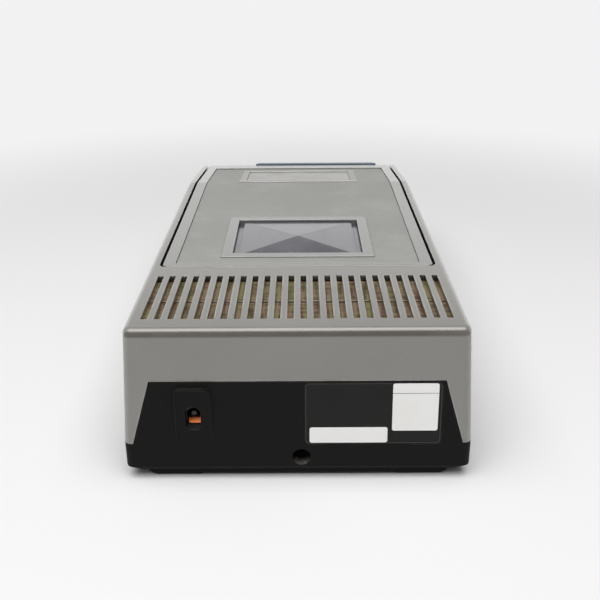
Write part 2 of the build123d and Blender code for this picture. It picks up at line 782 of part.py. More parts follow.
# ---------------------------------------------------------------- window bezel and lens
with BuildPart() as window_bezel:
    with BuildSketch(Plane.XY.offset(total_height - dress_recess)):
        with Locations((0, y_at(window_middle))):
            Rectangle(bezel_width, bezel_length)
            Rectangle(window_width - 2 * lens_gap, window_length - 2 * lens_gap, mode=Mode.SUBTRACT)
    extrude(amount=dress_recess)
    bezel_top = window_bezel.faces().sort_by(Axis.Z)[-1]
    chamfer(bezel_top.edges(), 0.25)
keep(window_bezel, "window_bezel")

lens_width = window_width - 4 * lens_gap - 2 * lens_side_gap
lens_length = window_length - 4 * lens_gap


def gable(middle, span):
    """Outline of the raised lens across one of its two directions: upright edges under a gable."""
    edge = total_height - lens_edge_depth
    low_points = [(middle - span / 2, lid_underside), (middle + span / 2, lid_underside)]
    high_points = [(middle + span / 2, edge), (middle, total_height - lens_apex_depth)]
    return low_points + high_points + [(middle - span / 2, edge)]


with BuildPart() as window_lens:
    with BuildSketch(Plane.YZ):
        with BuildLine():
            Polyline(*gable(y_at(window_middle), lens_length), close=True)
        make_face()
    extrude(amount=lens_width / 2, both=True)
    with BuildSketch(Plane.XZ.offset(-y_at(window_middle))):
        with BuildLine():
            Polyline(*gable(0, lens_width), close=True)
        make_face()
    extrude(amount=lens_length / 2, both=True, mode=Mode.INTERSECT)
    with BuildSketch(Plane.XY.offset(lid_underside)):
        with Locations((0, y_at(window_middle))):
            Rectangle(window_width + 2 * lens_flange, window_length + 2 * lens_flange)
    extrude(amount=-lens_flange_thickness)
keep(window_lens, "window_lens")

# ---------------------------------------------------------------- badge
badge_inner_width = badge_width - 2 * badge_side_border
badge_inner_length = badge_length - 2 * badge_end_border
with BuildPart() as badge_frame:
    with BuildSketch(dress_floor):
        Rectangle(badge_width, badge_length)
        Rectangle(badge_inner_width, badge_inner_length, mode=Mode.SUBTRACT)
    extrude(amount=dress_recess)
    badge_top = badge_frame.faces().sort_by(Axis((0, 0, 0), slope_normal))[-1]
    chamfer(badge_top.edges(), 0.3)
keep(badge_frame, "badge_frame")

with BuildPart() as badge_plate:
    with BuildSketch(dress_floor):
        Rectangle(badge_inner_width - trim_gap, badge_inner_length - trim_gap)
    extrude(amount=badge_plate_thickness)
keep(badge_plate, "badge_plate")

# ---------------------------------------------------------------- hinge pins
pin_outer = hinge_boss_inner + 2.2
with BuildPart() as hinge_pins:
    for side in (-1, 1):
        with BuildSketch(Plane.YZ.offset(side * lug_spans[1][0])):
            with Locations((y_at(hinge_distance), hinge_height)):
                Circle(hinge_pin_radius)
        extrude(amount=side * (pin_outer - lug_spans[1][0]))
keep(hinge_pins, "hinge_pins")

# ---------------------------------------------------------------- lid springs
# Torsion springs on the hinge pins: one leg lies under the lid, the other bears on the deck tray.
spring_wire = 0.4
spring_radius = 2.35
spring_turns = 5
spring_pitch = 1.5
spring_inner = lug_spans[1][1] + 1.4
lid_leg_length = 15.0
deck_leg_length = 10.0
spring_outer = spring_inner + spring_turns * spring_pitch


def lid_spring(side):
    """Torsion spring round the hinge axis, from its lid leg to its deck leg near the middle."""

    def coil_at(turn, along):
        angle = radians(90 - 360 * turn)
        return (
            side * (spring_outer - along),
            y_at(hinge_distance) + spring_radius * cos(angle),
            hinge_height + spring_radius * sin(angle),
        )

    with BuildPart() as spring:
        with BuildLine() as coil:
            top = coil_at(0, 0)
            Line((top[0], top[1] - lid_leg_length, top[2]), top)
            for half in range(2 * spring_turns):
                ThreePointArc(
                    coil_at(half / 2, half / 2 * spring_pitch),
                    coil_at(half / 2 + 0.25, (half / 2 + 0.25) * spring_pitch),
                    coil_at(half / 2 + 0.5, (half / 2 + 0.5) * spring_pitch),
                )
            run = spring_turns * spring_pitch
            ThreePointArc(coil_at(0, run), coil_at(0.125, run), coil_at(0.25, run))
            foot = coil_at(0.25, run)
            Line(foot, (foot[0], foot[1], foot[2] - deck_leg_length))
        with BuildSketch(Plane(origin=coil.line @ 0, z_dir=coil.line % 0)):
            Circle(spring_wire)
        sweep(path=coil.line)
    return spring


keep(lid_spring(-1), "lid_spring_left")
keep(lid_spring(1), "lid_spring_right")
print("least gap between the turns of a lid spring:", round(spring_pitch - 2 * spring_wire, 2))

# ---------------------------------------------------------------- hold-down springs
# Two bowed steel strips under the lid, drawn as they lie on a loaded cassette.
bow_start = well_start + 14.5
bow_end = bow_start + 72.0
bow_x = cassette_width / 2 - 9.0
bow_width = 8.0
bow_thickness = 0.4
bow_low = seat_height + cassette_height + 0.3
bow_middle = (bow_start + bow_end) / 2

with BuildPart() as hold_down_springs:
    for side in (-1, 1):
        with BuildSketch(Plane.YZ.offset(side * bow_x)):
            with BuildLine():
                lower = lid_underside - bow_thickness
                ThreePointArc(
                    (y_at(bow_start), lower), (y_at(bow_middle), bow_low), (y_at(bow_end), lower)
                )
                Line((y_at(bow_end), lower), (y_at(bow_end), lid_underside))
                ThreePointArc(
                    (y_at(bow_end), lid_underside),
                    (y_at(bow_middle), bow_low + bow_thickness),
                    (y_at(bow_start), lid_underside),
                )
                Line((y_at(bow_start), lid_underside), (y_at(bow_start), lower))
            make_face()
        extrude(amount=bow_width / 2, both=True)
keep(hold_down_springs, "hold_down_springs")

# ---------------------------------------------------------------- deck tray
# Black moulded well for the cassette, open above, with seats, reel holes and spring stops.
well_middle_y = y_at(well_middle)
deck_underside = deck_height - deck_thickness
switch_x = -32.0
switch_distance = well_middle
stop_width = 4.0
stop_x = spring_inner
stop_height = well_top - 8.0
middle_seats_apart = cassette_length / 3
leg_distance = hinge_distance - spring_radius
stop_face = leg_distance - spring_wire - 0.3

with BuildPart() as deck_tray:
    with BuildSketch(Plane.XY.offset(deck_underside)):
        with Locations((0, well_middle_y)):
            RectangleRounded(well_width + 2 * well_wall, well_length + 2 * well_wall, 3.0)
    extrude(amount=well_top - deck_underside)
    with BuildSketch(Plane.XY.offset(deck_height)):
        with Locations((0, well_middle_y)):
            RectangleRounded(well_width, well_length, 1.0)
    extrude(amount=well_top - deck_height, mode=Mode.SUBTRACT)
    seat_x = cassette_width / 2 - 6
    seat_y = cassette_length / 2 - 5
    with BuildSketch(Plane.XY.offset(deck_height)):
        with Locations((0, well_middle_y)):
            with GridLocations(2 * seat_x, 2 * seat_y, 2, 2):
                RectangleRounded(11.0, 8.0, 1.5)
            with GridLocations(2 * seat_x, middle_seats_apart, 2, 2):
                RectangleRounded(8.0, 20.0, 1.5)
    extrude(amount=seat_height - deck_height)
    with BuildSketch(Plane.XY.offset(deck_underside)):
        with plan([(reel_x, drive_distance), (reel_x, idler_distance)]):
            Circle(deck_hole_radius)
        with plan(deck_screws_at):
            Circle(screw_hole_radius)
        with plan([(switch_x, switch_distance)]):
            Circle(plunger_radius + plunger_clearance)
    extrude(amount=deck_thickness, mode=Mode.SUBTRACT)
    for side in (-1, 1):
        with BuildSketch(Plane.YZ.offset(side * stop_x)):
            with BuildLine():
                Polyline(
                    (y_at(well_start - well_wall + 0.5), stop_height),
                    (y_at(well_start - well_wall + 0.5), stop_height + 2),
                    (y_at(stop_face), stop_height + 2),
                    (y_at(stop_face), stop_height + 7),
                    (y_at(stop_face - 1.6), stop_height + 7),
                    (y_at(stop_face - 1.6), stop_height),
                    close=True,
                )
            make_face()
        extrude(amount=stop_width / 2, both=True)
keep(deck_tray, "deck_tray")

# ---------------------------------------------------------------- reel shafts, washers, retainers
shaft_foot = floor_height
washer_thickness = 0.5
washer_gap = 0.3
retainer_seat = spindle_top - 3.5
retainer_height = retainer_seat + 0.3
retainer_thickness = 0.8
retainer_radius = 3.6
shaft_top = retainer_height + retainer_thickness + 0.6
reels_at = [(reel_x, drive_distance), (reel_x, idler_distance)]

with BuildPart() as reel_shafts:
    with BuildSketch(Plane.XY.offset(shaft_foot)):
        with plan(reels_at):
            Circle(reel_shaft_radius)
    extrude(amount=shaft_top - shaft_foot)
    chamfer(reel_shafts.faces().group_by(Axis.Z)[-1].edges(), 0.4)
keep(reel_shafts, "reel_shafts")

with BuildPart() as thrust_washers:
    for place, post_top in zip(reels_at, (drive_post_top, idler_post_top)):
        with BuildSketch(Plane.XY.offset(post_top)):
            with plan([place]):
                Circle(hub_sleeve_radius)
                Circle(reel_shaft_radius, mode=Mode.SUBTRACT)
        extrude(amount=washer_thickness)
keep(thrust_washers, "thrust_washers")

with BuildPart() as hub_retainers:
    with BuildSketch(Plane.XY.offset(retainer_height)):
        with plan(reels_at):
            Circle(retainer_radius)
            Circle(reel_shaft_radius, mode=Mode.SUBTRACT)
    extrude(amount=retainer_thickness)
keep(hub_retainers, "hub_retainers")


# ---------------------------------------------------------------- reel hubs
def reel_hub(place, foot):
    """Moulded reel spindle: a sleeve on the shaft, a flange, and a splined spindle with a tip."""
    x, y = place[0], y_at(place[1])
    with BuildPart() as hub:
        with BuildSketch(Plane.XZ) as section:
            with BuildLine():
                Polyline(
                    (0, foot),
                    (hub_sleeve_radius, foot),
                    (hub_sleeve_radius, flange_height),
                    (hub_flange_radius, flange_height),
                    (hub_flange_radius, spindle_base - 0.5),
                    (hub_flange_radius - 0.5, spindle_base),
                    (spindle_radius, spindle_base),
                    (spindle_radius, spindle_top - spindle_tip),
                    (spindle_radius - spindle_tip, spindle_top),
                    (0, spindle_top),
                    close=True,
                )
            make_face()
        revolve(axis=Axis.Z)
        with BuildSketch(Plane.XY.offset(spindle_base)):
            with PolarLocations(0, spline_count):
                with Locations((spline_radius / 2, 0)):
                    Rectangle(spline_radius, spline_width)
        extrude(amount=spindle_height - spindle_tip - 1)
        tips = hub.edges().filter_by(
            lambda edge: abs(edge.center().Z - (spindle_top - spindle_tip - 1)) < 0.1
            and edge.center().X ** 2 + edge.center().Y ** 2 > (spline_radius - 0.3) ** 2
        )
        chamfer(tips, 1.2)
        with BuildSketch(Plane.XY.offset(foot)):
            Circle(reel_shaft_radius + reel_clearance)
        extrude(amount=spindle_top - foot, mode=Mode.SUBTRACT)
        with BuildSketch(Plane.XY.offset(retainer_seat)):
            Circle(retainer_radius + 0.4)
        extrude(amount=spindle_top - retainer_seat, mode=Mode.SUBTRACT)
    hub.part.locate(Location((x, y, 0)))
    return hub


drive_foot = drive_post_top + washer_thickness + washer_gap
idler_foot = idler_post_top + washer_thickness + washer_gap
drive_hub = reel_hub(reels_at[0], drive_foot)
keep(drive_hub, "drive_hub")
idler_hub = reel_hub(reels_at[1], idler_foot)
keep(idler_hub, "idler_hub")

with BuildPart() as drag_felt:
    with BuildSketch(Plane.XY.offset(deck_height)):
        with plan([reels_at[1]]):
            Circle(hub_flange_radius - 2)
            Circle(deck_hole_radius + 1, mode=Mode.SUBTRACT)
    extrude(amount=hub_flange_lift - 0.3)
keep(drag_felt, "drag_felt")


# ---------------------------------------------------------------- belt drive
def grooved_wheel(groove_radius, bore_radius, low, high):
    """Section of a pulley rim: a flat-bottomed groove between two flanges at the belt's height."""
    flange = groove_radius + groove_flange
    half_groove = belt_section / 2 + belt_clearance
    bottom = belt_height - pulley_width / 2
    top = belt_height + pulley_width / 2
    return [
        (bore_radius, low),
        (bore_radius, high),
        (groove_radius - 2.0, high),
        (groove_radius - 2.0, top),
        (flange, top),
        (flange, top - 0.8),
        (groove_radius, belt_height + half_groove),
        (groove_radius, belt_height - half_groove),
        (flange, bottom + 0.8),
        (flange, bottom),
        (groove_radius - 2.0, bottom),
        (groove_radius - 2.0, low),
    ]


web_half = 1.0
wheel_hub_radius = 8.0
with BuildPart() as belt_wheel:
    with BuildSketch(Plane.XZ):
        with BuildLine():
            Polyline(
                *grooved_wheel(
                    wheel_groove_radius,
                    wheel_hub_radius - 1,
                    belt_height - web_half,
                    belt_height + web_half,
                ),
                close=True,
            )
        make_face()
    revolve(axis=Axis.Z)
    with BuildSketch(Plane.XY.offset(drive_foot)):
        Circle(wheel_hub_radius)
    extrude(amount=belt_height + pulley_width / 2 - drive_foot)
    with BuildSketch(Plane.XY.offset(belt_height - web_half)):
        with PolarLocations((wheel_groove_radius - 2 + wheel_hub_radius) / 2, 5):
            Circle(5.0)
    extrude(amount=2 * web_half, mode=Mode.SUBTRACT)
    with BuildSketch(Plane.XY.offset(drive_foot)):
        Circle(hub_sleeve_radius)
    extrude(amount=belt_height + pulley_width - drive_foot, mode=Mode.SUBTRACT)
belt_wheel.part.locate(Location((reel_x, y_at(drive_distance), 0)))
keep(belt_wheel, "belt_wheel")

with BuildPart() as motor_pulley:
    with BuildSketch(Plane.XZ):
        with BuildLine():
            pulley_low = belt_height - pulley_width / 2
            pulley_high = belt_height + pulley_width / 2
            flange = pulley_groove_radius + groove_flange
            half_groove = belt_section / 2 + belt_clearance
            Polyline(
                (motor_shaft_radius, pulley_low),
                (motor_shaft_radius, pulley_high),
                (flange, pulley_high),
                (flange, pulley_high - 0.8),
                (pulley_groove_radius, belt_height + half_groove),
                (pulley_groove_radius, belt_height - half_groove),
                (flange, pulley_low + 0.8),
                (flange, pulley_low),
                close=True,
            )
        make_face()
    revolve(axis=Axis.Z)
motor_pulley.part.locate(Location((motor_x, y_at(motor_distance), 0)))
keep(motor_pulley, "motor_pulley")

with BuildPart() as drive_belt:
    for extra, mode in ((belt_clearance + belt_section, Mode.ADD), (belt_clearance, Mode.SUBTRACT)):
        with BuildSketch(Plane.XY.offset(belt_height - belt_section / 2)):
            with plan([(reel_x, drive_distance)]):
                Circle(wheel_groove_radius + extra)
            with plan([(motor_x, motor_distance)]):
                Circle(pulley_groove_radius + extra)
            make_hull()
        extrude(amount=belt_section, mode=mode)
keep(drive_belt, "drive_belt")

# ---------------------------------------------------------------- motor
motor_low = bracket_height + bracket_thickness
motor_boss_radius = 3.0
with BuildPart() as motor:
    with BuildSketch(Plane.XY.offset(motor_low)):
        with plan([(motor_x, motor_distance)]):
            Circle(motor_radius)
    extrude(amount=motor_length)
    fillet(motor.faces().sort_by(Axis.Z)[-1].edges(), 2.0)
    with BuildSketch(Plane.XY.offset(motor_low)):
        with plan([(motor_x, motor_distance)]):
            Circle(motor_boss_radius)
    extrude(amount=-bracket_thickness)
    with BuildSketch(Plane.XY.offset(motor_low + motor_length)):
        with plan([(motor_x, motor_distance)]):
            Circle(5.0)
        with plan([(motor_x - 8, motor_distance), (motor_x + 8, motor_distance)]):
            Rectangle(2.4, 0.6)
    extrude(amount=2.0)
    with BuildSketch(Plane.XY.offset(bracket_height)):
        with plan([(motor_x, motor_distance)]):
            Circle(motor_shaft_radius + motor_shaft_clearance)
    extrude(amount=12.0, mode=Mode.SUBTRACT)
keep(motor, "motor")

with BuildPart() as motor_shaft:
    with BuildSketch(Plane.XY.offset(belt_height - pulley_width / 2 - 1)):
        with plan([(motor_x, motor_distance)]):
            Circle(motor_shaft_radius)
    extrude(amount=pulley_width + 1 + 10)
keep(motor_shaft, "motor_shaft")

with BuildPart() as motor_bracket:
    with BuildSketch(Plane.XY.offset(bracket_height)):
        with plan([(motor_x, motor_distance)]):
            RectangleRounded(bracket_length, bracket_width, bracket_radius)
            Circle(motor_boss_radius + 0.3, mode=Mode.SUBTRACT)
        with plan(motor_screws_at):
            Circle(screw_hole_radius, mode=Mode.SUBTRACT)
    extrude(amount=bracket_thickness)
keep(motor_bracket, "motor_bracket")

# ---------------------------------------------------------------- circuit board and its parts
board_top = board_height + board_thickness
with BuildPart() as circuit_board:
    with BuildSketch(Plane.XY.offset(board_height)):
        with plan([(board_x, board_middle)]):
            Rectangle(board_width, board_length)
        with plan(board_screws_at):
            Circle(screw_hole_radius, mode=Mode.SUBTRACT)
    extrude(amount=board_thickness)
keep(circuit_board, "circuit_board")

with BuildPart() as capacitor:
    with BuildSketch(Plane.XY.offset(board_top)):
        with plan([(board_x - 12, board_middle + 6)]):
            Circle(5.0)
    extrude(amount=14.0)
    fillet(capacitor.edges().filter_by(GeomType.CIRCLE), 0.8)
keep(capacitor, "capacitor")

with BuildPart() as driver_transistor:
    with BuildSketch(Plane.XY.offset(board_top)):
        with plan([(board_x + 8, board_middle + 14)]):
            Rectangle(10.0, 4.4)
    extrude(amount=10.0)
    with BuildSketch(Plane.XY.offset(board_top)):
        with plan([(board_x + 8, board_middle + 14 + 1.6)]):
            Rectangle(10.0, 1.2)
    extrude(amount=15.5)
keep(driver_transistor, "driver_transistor")

with BuildPart() as resistors:
    for number in range(4):
        with BuildSketch(Plane.YZ.offset(board_x - 4)):
            with Locations((y_at(board_middle - 8 + 3.6 * number), board_top + 1.2)):
                Circle(1.2)
        extrude(amount=7.0)
keep(resistors, "resistors")

# ---------------------------------------------------------------- power jack
# A moulded jack on the board's rear edge; its contact spring shows through the panel's slot.
jack_half_width = 4.6
jack_bore_radius = 2.9
jack_depth = 12.5
jack_body_low = jack_axis_height - 5.5
jack_body_high = jack_axis_height + 4.0
jack_start = rear_skin(jack_body_high) + housing_wall + 0.3  # the face of the jack
jack_bore_end = jack_start + jack_depth - 2
jack_pin_radius = 1.0
jack_pin_reach = 8.0  # of the part that the plug slides over
jack_pin_neck_radius = 0.75
jack_pin_start = jack_start + 0.6
jack_pin_neck = jack_pin_start + jack_pin_reach
contact_width = 4.7
with BuildPart() as dc_jack:
    with BuildSketch(Plane.XZ.offset(-y_at(jack_start))):
        with Locations((jack_x, (jack_body_low + jack_body_high) / 2)):
            Rectangle(2 * jack_half_width, jack_body_high - jack_body_low)
        for side in (-1, 1):
            leg_x = jack_x + side * (jack_half_width - 0.6)
            with Locations((leg_x, (jack_body_low + board_top) / 2)):
                Rectangle(1.2, jack_body_low - board_top)
    extrude(amount=jack_depth)
    with BuildSketch(Plane.XZ.offset(-y_at(jack_start))):
        with Locations((jack_x, jack_axis_height)):
            Circle(jack_bore_radius)
        with Locations((jack_x, (jack_body_low + jack_axis_height) / 2)):
            Rectangle(contact_width + 0.6, jack_axis_height - jack_body_low)
    extrude(amount=jack_bore_end - jack_start, mode=Mode.SUBTRACT)
keep(dc_jack, "dc_jack")

with BuildPart() as jack_pin:
    with BuildSketch(Plane.XZ.offset(-y_at(jack_pin_start))):
        with Locations((jack_x, jack_axis_height)):
            Circle(jack_pin_radius)
    extrude(amount=jack_pin_reach)
    with BuildSketch(Plane.XZ.offset(-y_at(jack_pin_neck))):
        with Locations((jack_x, jack_axis_height)):
            Circle(jack_pin_neck_radius)
    extrude(amount=jack_bore_end - jack_pin_neck)
keep(jack_pin, "jack_pin")

contact_low = jack_axis_height - 4.5
contact_high = jack_axis_height - 3.0
contact_strip = 0.3
with BuildPart() as jack_contact:
    with BuildSketch(Plane.YZ.offset(jack_x)):
        with BuildLine():
            Polyline(
                (y_at(jack_start + 8.0), board_top),
                (y_at(jack_start + 8.0), contact_low),
                (y_at(jack_start + 6.0), contact_low),
                (y_at(jack_start + 2.2), contact_high),
                (y_at(jack_start + 0.6), contact_low),
            )
        trace(line_width=contact_strip)
    extrude(amount=contact_width / 2, both=True)
keep(jack_contact, "jack_contact")

# ---------------------------------------------------------------- start switch
switch_width = 20.0
switch_depth = 6.4
switch_body_height = 8.0
plunger_foot = 20.6
with BuildPart() as switch_body:
    with BuildSketch(Plane.XY.offset(deck_underside)):
        with plan([(switch_x, switch_distance)]):
            Rectangle(switch_width, switch_depth)
    extrude(amount=-switch_body_height)
    with BuildSketch(Plane.XY.offset(deck_underside)):
        with plan([(switch_x, switch_distance)]):
            Circle(plunger_radius + plunger_clearance)
    extrude(amount=-(deck_underside - plunger_foot + plunger_travel + 0.4), mode=Mode.SUBTRACT)
keep(switch_body, "switch_body")

with BuildPart() as switch_plunger:
    with BuildSketch(Plane.XY.offset(plunger_foot)):
        with plan([(switch_x, switch_distance)]):
            Circle(plunger_radius)
    extrude(amount=seat_height + plunger_rise - plunger_foot)
    fillet(switch_plunger.faces().sort_by(Axis.Z)[-1].edges(), 1.0)
keep(switch_plunger, "switch_plunger")

# ---------------------------------------------------------------- eject bar
# One moulding: the bar outside, two arms through the front wall, their pivot eyes and the hooks.
eject_bar_back = front_skin(eject_bar_bottom) + eject_bar_gap
bar_front = top_length + inset + bar_proud
arm_half = 2.5
hook_start = latch_axis_distance + 1.0
hook_thickness = 1.8
hook_top = tab_low + lip_thickness + 2.1
nose_reach = lip_reach - 1.0
nose_low = tab_low + lip_thickness + 0.3
web_start = latch_axis_distance + latch_pin_radius + 0.4
web_end = latch_axis_distance + 4.5

with BuildPart() as eject_bar:
    with BuildSketch(Plane.XY.offset(eject_bar_bottom)):
        with BuildLine():
            Polyline(
                (latch_x - eject_bar_half - eject_bar_slant, y_at(eject_bar_back)),
                (latch_x + eject_bar_half + eject_bar_slant, y_at(eject_bar_back)),
                (latch_x + eject_bar_half, y_at(bar_front)),
                (latch_x - eject_bar_half, y_at(bar_front)),
                close=True,
            )
        make_face()
    extrude(amount=eject_bar_top - eject_bar_bottom)
    front_edges = eject_bar.edges().filter_by(Axis.X).group_by(Axis.Y)[0]
    fillet(front_edges, 0.8)
    back_edge = eject_bar.edges().filter_by(Axis.X).group_by(Axis.Y)[-1].sort_by(Axis.Z)[0]
    chamfer(back_edge, 0.6)
    for side in (-1, 1):
        with BuildSketch(Plane.YZ.offset(latch_x + side * latch_arm_offset)):
            with Locations((y_at(latch_axis_distance), latch_axis_height)):
                Circle(boss_radius - 0.4)
            arm_reach = eject_bar_back + 0.5 - latch_axis_distance
            with Locations((y_at(latch_axis_distance + arm_reach / 2), latch_axis_height)):
                Rectangle(arm_reach, 2 * arm_half)
            with BuildLine():
                Polyline(
                    (y_at(hook_start), latch_axis_height),
                    (y_at(hook_start), nose_low),
                    (y_at(nose_reach), nose_low),
                    (y_at(nose_reach + 1.4), hook_top),
                    (y_at(hook_start + hook_thickness), hook_top),
                    (y_at(hook_start + hook_thickness), latch_axis_height),
                    close=True,
                )
            make_face()
            with Locations((y_at(latch_axis_distance), latch_axis_height)):
                Circle(latch_pin_radius + latch_clearance, mode=Mode.SUBTRACT)
        extrude(amount=latch_arm_width / 2, both=True)
    with BuildSketch(Plane.XY.offset(latch_axis_height - arm_half)):
        with plan([(latch_x, (web_start + web_end) / 2)]):
            Rectangle(2 * latch_arm_offset, web_end - web_start)
    extrude(amount=2.0)
keep(eject_bar, "eject_bar")

with BuildPart() as latch_pin:
    with BuildSketch(Plane.YZ.offset(latch_x)):
        with Locations((y_at(latch_axis_distance), latch_axis_height)):
            Circle(latch_pin_radius)
    extrude(amount=ear_offset + ear_thickness / 2, both=True)
keep(latch_pin, "latch_pin")

# ---------------------------------------------------------------- eject spring
# Compression spring between the shelf on the front wall and the web of the eject bar.
coil_wire = 0.3
coil_radius = 2.0
coil_half_turns = 12
coil_middle = (web_start + web_end) / 2
coil_low = spring_shelf_height + coil_wire
coil_high = latch_axis_height - arm_half - coil_wire
coil_rise = (coil_high - coil_low) / coil_half_turns


def coil_point(half_turn):
    """Point on the compression spring, in half turns from its foot."""
    angle = 180 * half_turn
    return (
        latch_x + coil_radius * cos(radians(angle)),
        y_at(coil_middle) + coil_radius * sin(radians(angle)),
        coil_low + half_turn * coil_rise,
    )


with BuildPart() as eject_spring:
    with BuildLine() as turns:
        for half in range(coil_half_turns):
            ThreePointArc(coil_point(half), coil_point(half + 0.5), coil_point(half + 1))
    with BuildSketch(Plane(origin=turns.line @ 0, z_dir=turns.line % 0)):
        Circle(coil_wire)
    sweep(path=turns.line)
keep(eject_spring, "eject_spring")
print("least gap between the turns of the eject spring:", round(2 * coil_rise - 2 * coil_wire, 2))


# ---------------------------------------------------------------- screws
def upright_screw(places, seat, length, head_up):
    """Pan-head screws at places, with the heads' undersides at the seat height."""
    direction = 1 if head_up else -1
    with BuildPart() as screws:
        with BuildSketch(Plane.XY.offset(seat)):
            with plan(places):
                Circle(screw_head_radius)
        extrude(amount=direction * screw_head_height)
        with BuildSketch(Plane.XY.offset(seat)):
            with plan(places):
                Circle(screw_shank_radius)
        extrude(amount=-direction * length)
        with BuildSketch(Plane.XY.offset(seat + direction * screw_head_height)):
            with plan(places):
                Rectangle(screw_slot_length, screw_slot_width)
                Rectangle(screw_slot_width, screw_slot_length)
        extrude(amount=-direction * screw_slot_depth, mode=Mode.SUBTRACT)
    return screws


housing_screws = upright_screw(housing_screws_at, well_counterbore, housing_screw_length, False)
keep(housing_screws, "housing_screws")
deck_screws = upright_screw(deck_screws_at, deck_height, deck_screw_length, True)
keep(deck_screws, "deck_screws")
bracket_top = bracket_height + bracket_thickness
motor_screws = upright_screw(motor_screws_at, bracket_top, motor_screw_length, True)
keep(motor_screws, "motor_screws")
board_screws = upright_screw(board_screws_at, board_top, board_screw_length, True)
keep(board_screws, "board_screws")

with BuildPart() as rear_screw:
    with BuildSketch(Plane.XZ.offset(-y_at(rear_screw_seat))):
        with Locations((rear_screw_x, rear_screw_height)):
            Circle(screw_head_radius)
    extrude(amount=-screw_head_height)
    with BuildSketch(Plane.XZ.offset(-y_at(rear_screw_seat))):
        with Locations((rear_screw_x, rear_screw_height)):
            Circle(screw_shank_radius)
    extrude(amount=rear_screw_length)
    with BuildSketch(Plane.XZ.offset(-y_at(rear_screw_seat - screw_head_height))):
        with Locations((rear_screw_x, rear_screw_height)):
            Rectangle(screw_slot_length, screw_slot_width)
            Rectangle(screw_slot_width, screw_slot_length)
    extrude(amount=screw_slot_depth, mode=Mode.SUBTRACT)
keep(rear_screw, "rear_screw")

# ---------------------------------------------------------------- rear label and stickers
# Printed label in its shallow recess, with two bare stickers on it.
with BuildPart() as rear_label:
    with BuildSketch(label_seat):
        RectangleRounded(
            label_width - 2 * label_gap, label_height - 2 * label_gap, label_radius - label_gap
        )
    extrude(amount=label_thickness)
keep(rear_label, "rear_label")

with BuildPart() as label_stickers:
    with BuildSketch(label_seat.offset(label_thickness)):
        with Locations(long_sticker_place):
            RectangleRounded(long_sticker_width, long_sticker_height, sticker_radius)
        with Locations(square_sticker_place):
            RectangleRounded(square_sticker_width, square_sticker_height, sticker_radius)
    extrude(amount=sticker_thickness)
keep(label_stickers, "label_stickers")
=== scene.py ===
import json
from math import cos, pi, radians

import bmesh
import bpy
from mathutils import Matrix, Vector


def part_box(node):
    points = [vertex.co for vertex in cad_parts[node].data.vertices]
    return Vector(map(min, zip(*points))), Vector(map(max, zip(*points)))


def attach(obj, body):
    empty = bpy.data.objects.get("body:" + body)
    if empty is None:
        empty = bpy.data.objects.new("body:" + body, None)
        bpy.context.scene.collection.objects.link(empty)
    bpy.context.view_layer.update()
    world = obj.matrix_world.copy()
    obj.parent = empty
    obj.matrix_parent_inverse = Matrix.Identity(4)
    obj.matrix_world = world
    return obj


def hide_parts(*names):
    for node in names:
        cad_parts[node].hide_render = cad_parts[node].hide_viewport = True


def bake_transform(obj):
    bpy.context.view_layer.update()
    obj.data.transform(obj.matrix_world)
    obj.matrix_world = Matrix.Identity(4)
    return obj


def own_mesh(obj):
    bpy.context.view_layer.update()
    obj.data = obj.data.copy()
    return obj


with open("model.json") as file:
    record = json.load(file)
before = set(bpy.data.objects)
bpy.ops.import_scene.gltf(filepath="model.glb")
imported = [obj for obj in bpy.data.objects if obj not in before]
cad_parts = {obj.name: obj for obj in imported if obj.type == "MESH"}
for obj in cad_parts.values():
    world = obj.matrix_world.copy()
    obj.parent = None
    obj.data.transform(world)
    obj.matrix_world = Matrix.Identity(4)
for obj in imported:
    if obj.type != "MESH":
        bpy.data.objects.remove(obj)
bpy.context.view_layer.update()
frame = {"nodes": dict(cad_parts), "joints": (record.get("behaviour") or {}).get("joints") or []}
bpy.ops.object.select_all(action="DESELECT")

# ---------------------------------------------------------------- camera
# Stands a hand's length behind the rewinder and looks down on it, as a person does who has just
# set it on a table with the power jack towards them.
look_down = radians(23.72)
facing_round = radians(180.21)
tilted_head = radians(-0.39)
behind_rim = 0.2834
above_top = 0.1366
rewinder_top = 0.066
rear_rim = 0.141
focal_pixels = 820  # in a picture 600 pixels wide
viewpoint = Vector((-0.0023, rear_rim + behind_rim, rewinder_top + above_top))
bpy.ops.object.camera_add(location=viewpoint)
camera = bpy.context.object
camera.name = "camera"
turn = Matrix.Rotation(facing_round, 4, "Z") @ Matrix.Rotation(pi / 2 - look_down, 4, "X")
turn = turn @ Matrix.Rotation(tilted_head, 4, "Z")
camera.matrix_world = Matrix.Translation(viewpoint) @ turn
camera.data.sensor_width = 36.0
camera.data.lens = camera.data.sensor_width * focal_pixels / 600
camera.data.clip_start = 0.01
bpy.context.scene.camera = camera
bpy.context.scene.view_settings.view_transform = "Standard"


# ---------------------------------------------------------------- table and light
# A white sweep of paper under a wide soft lamp, which hangs a little towards the viewer. The
# room's walls are pale up to head height and dark above it, as gloss shows them.
def shade(tree, kind, settings=None, **sockets):
    """Adds a shader node. A socket is given a value, or the output that feeds it, and is named
    by its own name or, as n0, n1 and so on, by its number."""
    made = tree.nodes.new("ShaderNode" + kind)
    for name, value in (settings or {}).items():
        setattr(made, name, value)
    for name, value in sockets.items():
        key = int(name[1:]) if name[0] == "n" and name[1:].isdigit() else name.replace("_", " ")
        if isinstance(value, bpy.types.NodeSocket):
            tree.links.new(value, made.inputs[key])
        else:
            made.inputs[key].default_value = value
    return made


def sums(tree, operation, a, b=0.0, c=0.0, clamp=False):
    """One Math node's output."""
    settings = {"operation": operation, "use_clamp": clamp}
    return shade(tree, "Math", settings, n0=a, n1=b, n2=c).outputs[0]


def between(tree, factor, first, second):
    """A colour between two colours."""
    mix = shade(tree, "Mix", {"data_type": "RGBA"}, n0=factor, n6=first, n7=second)
    return mix.outputs[2]


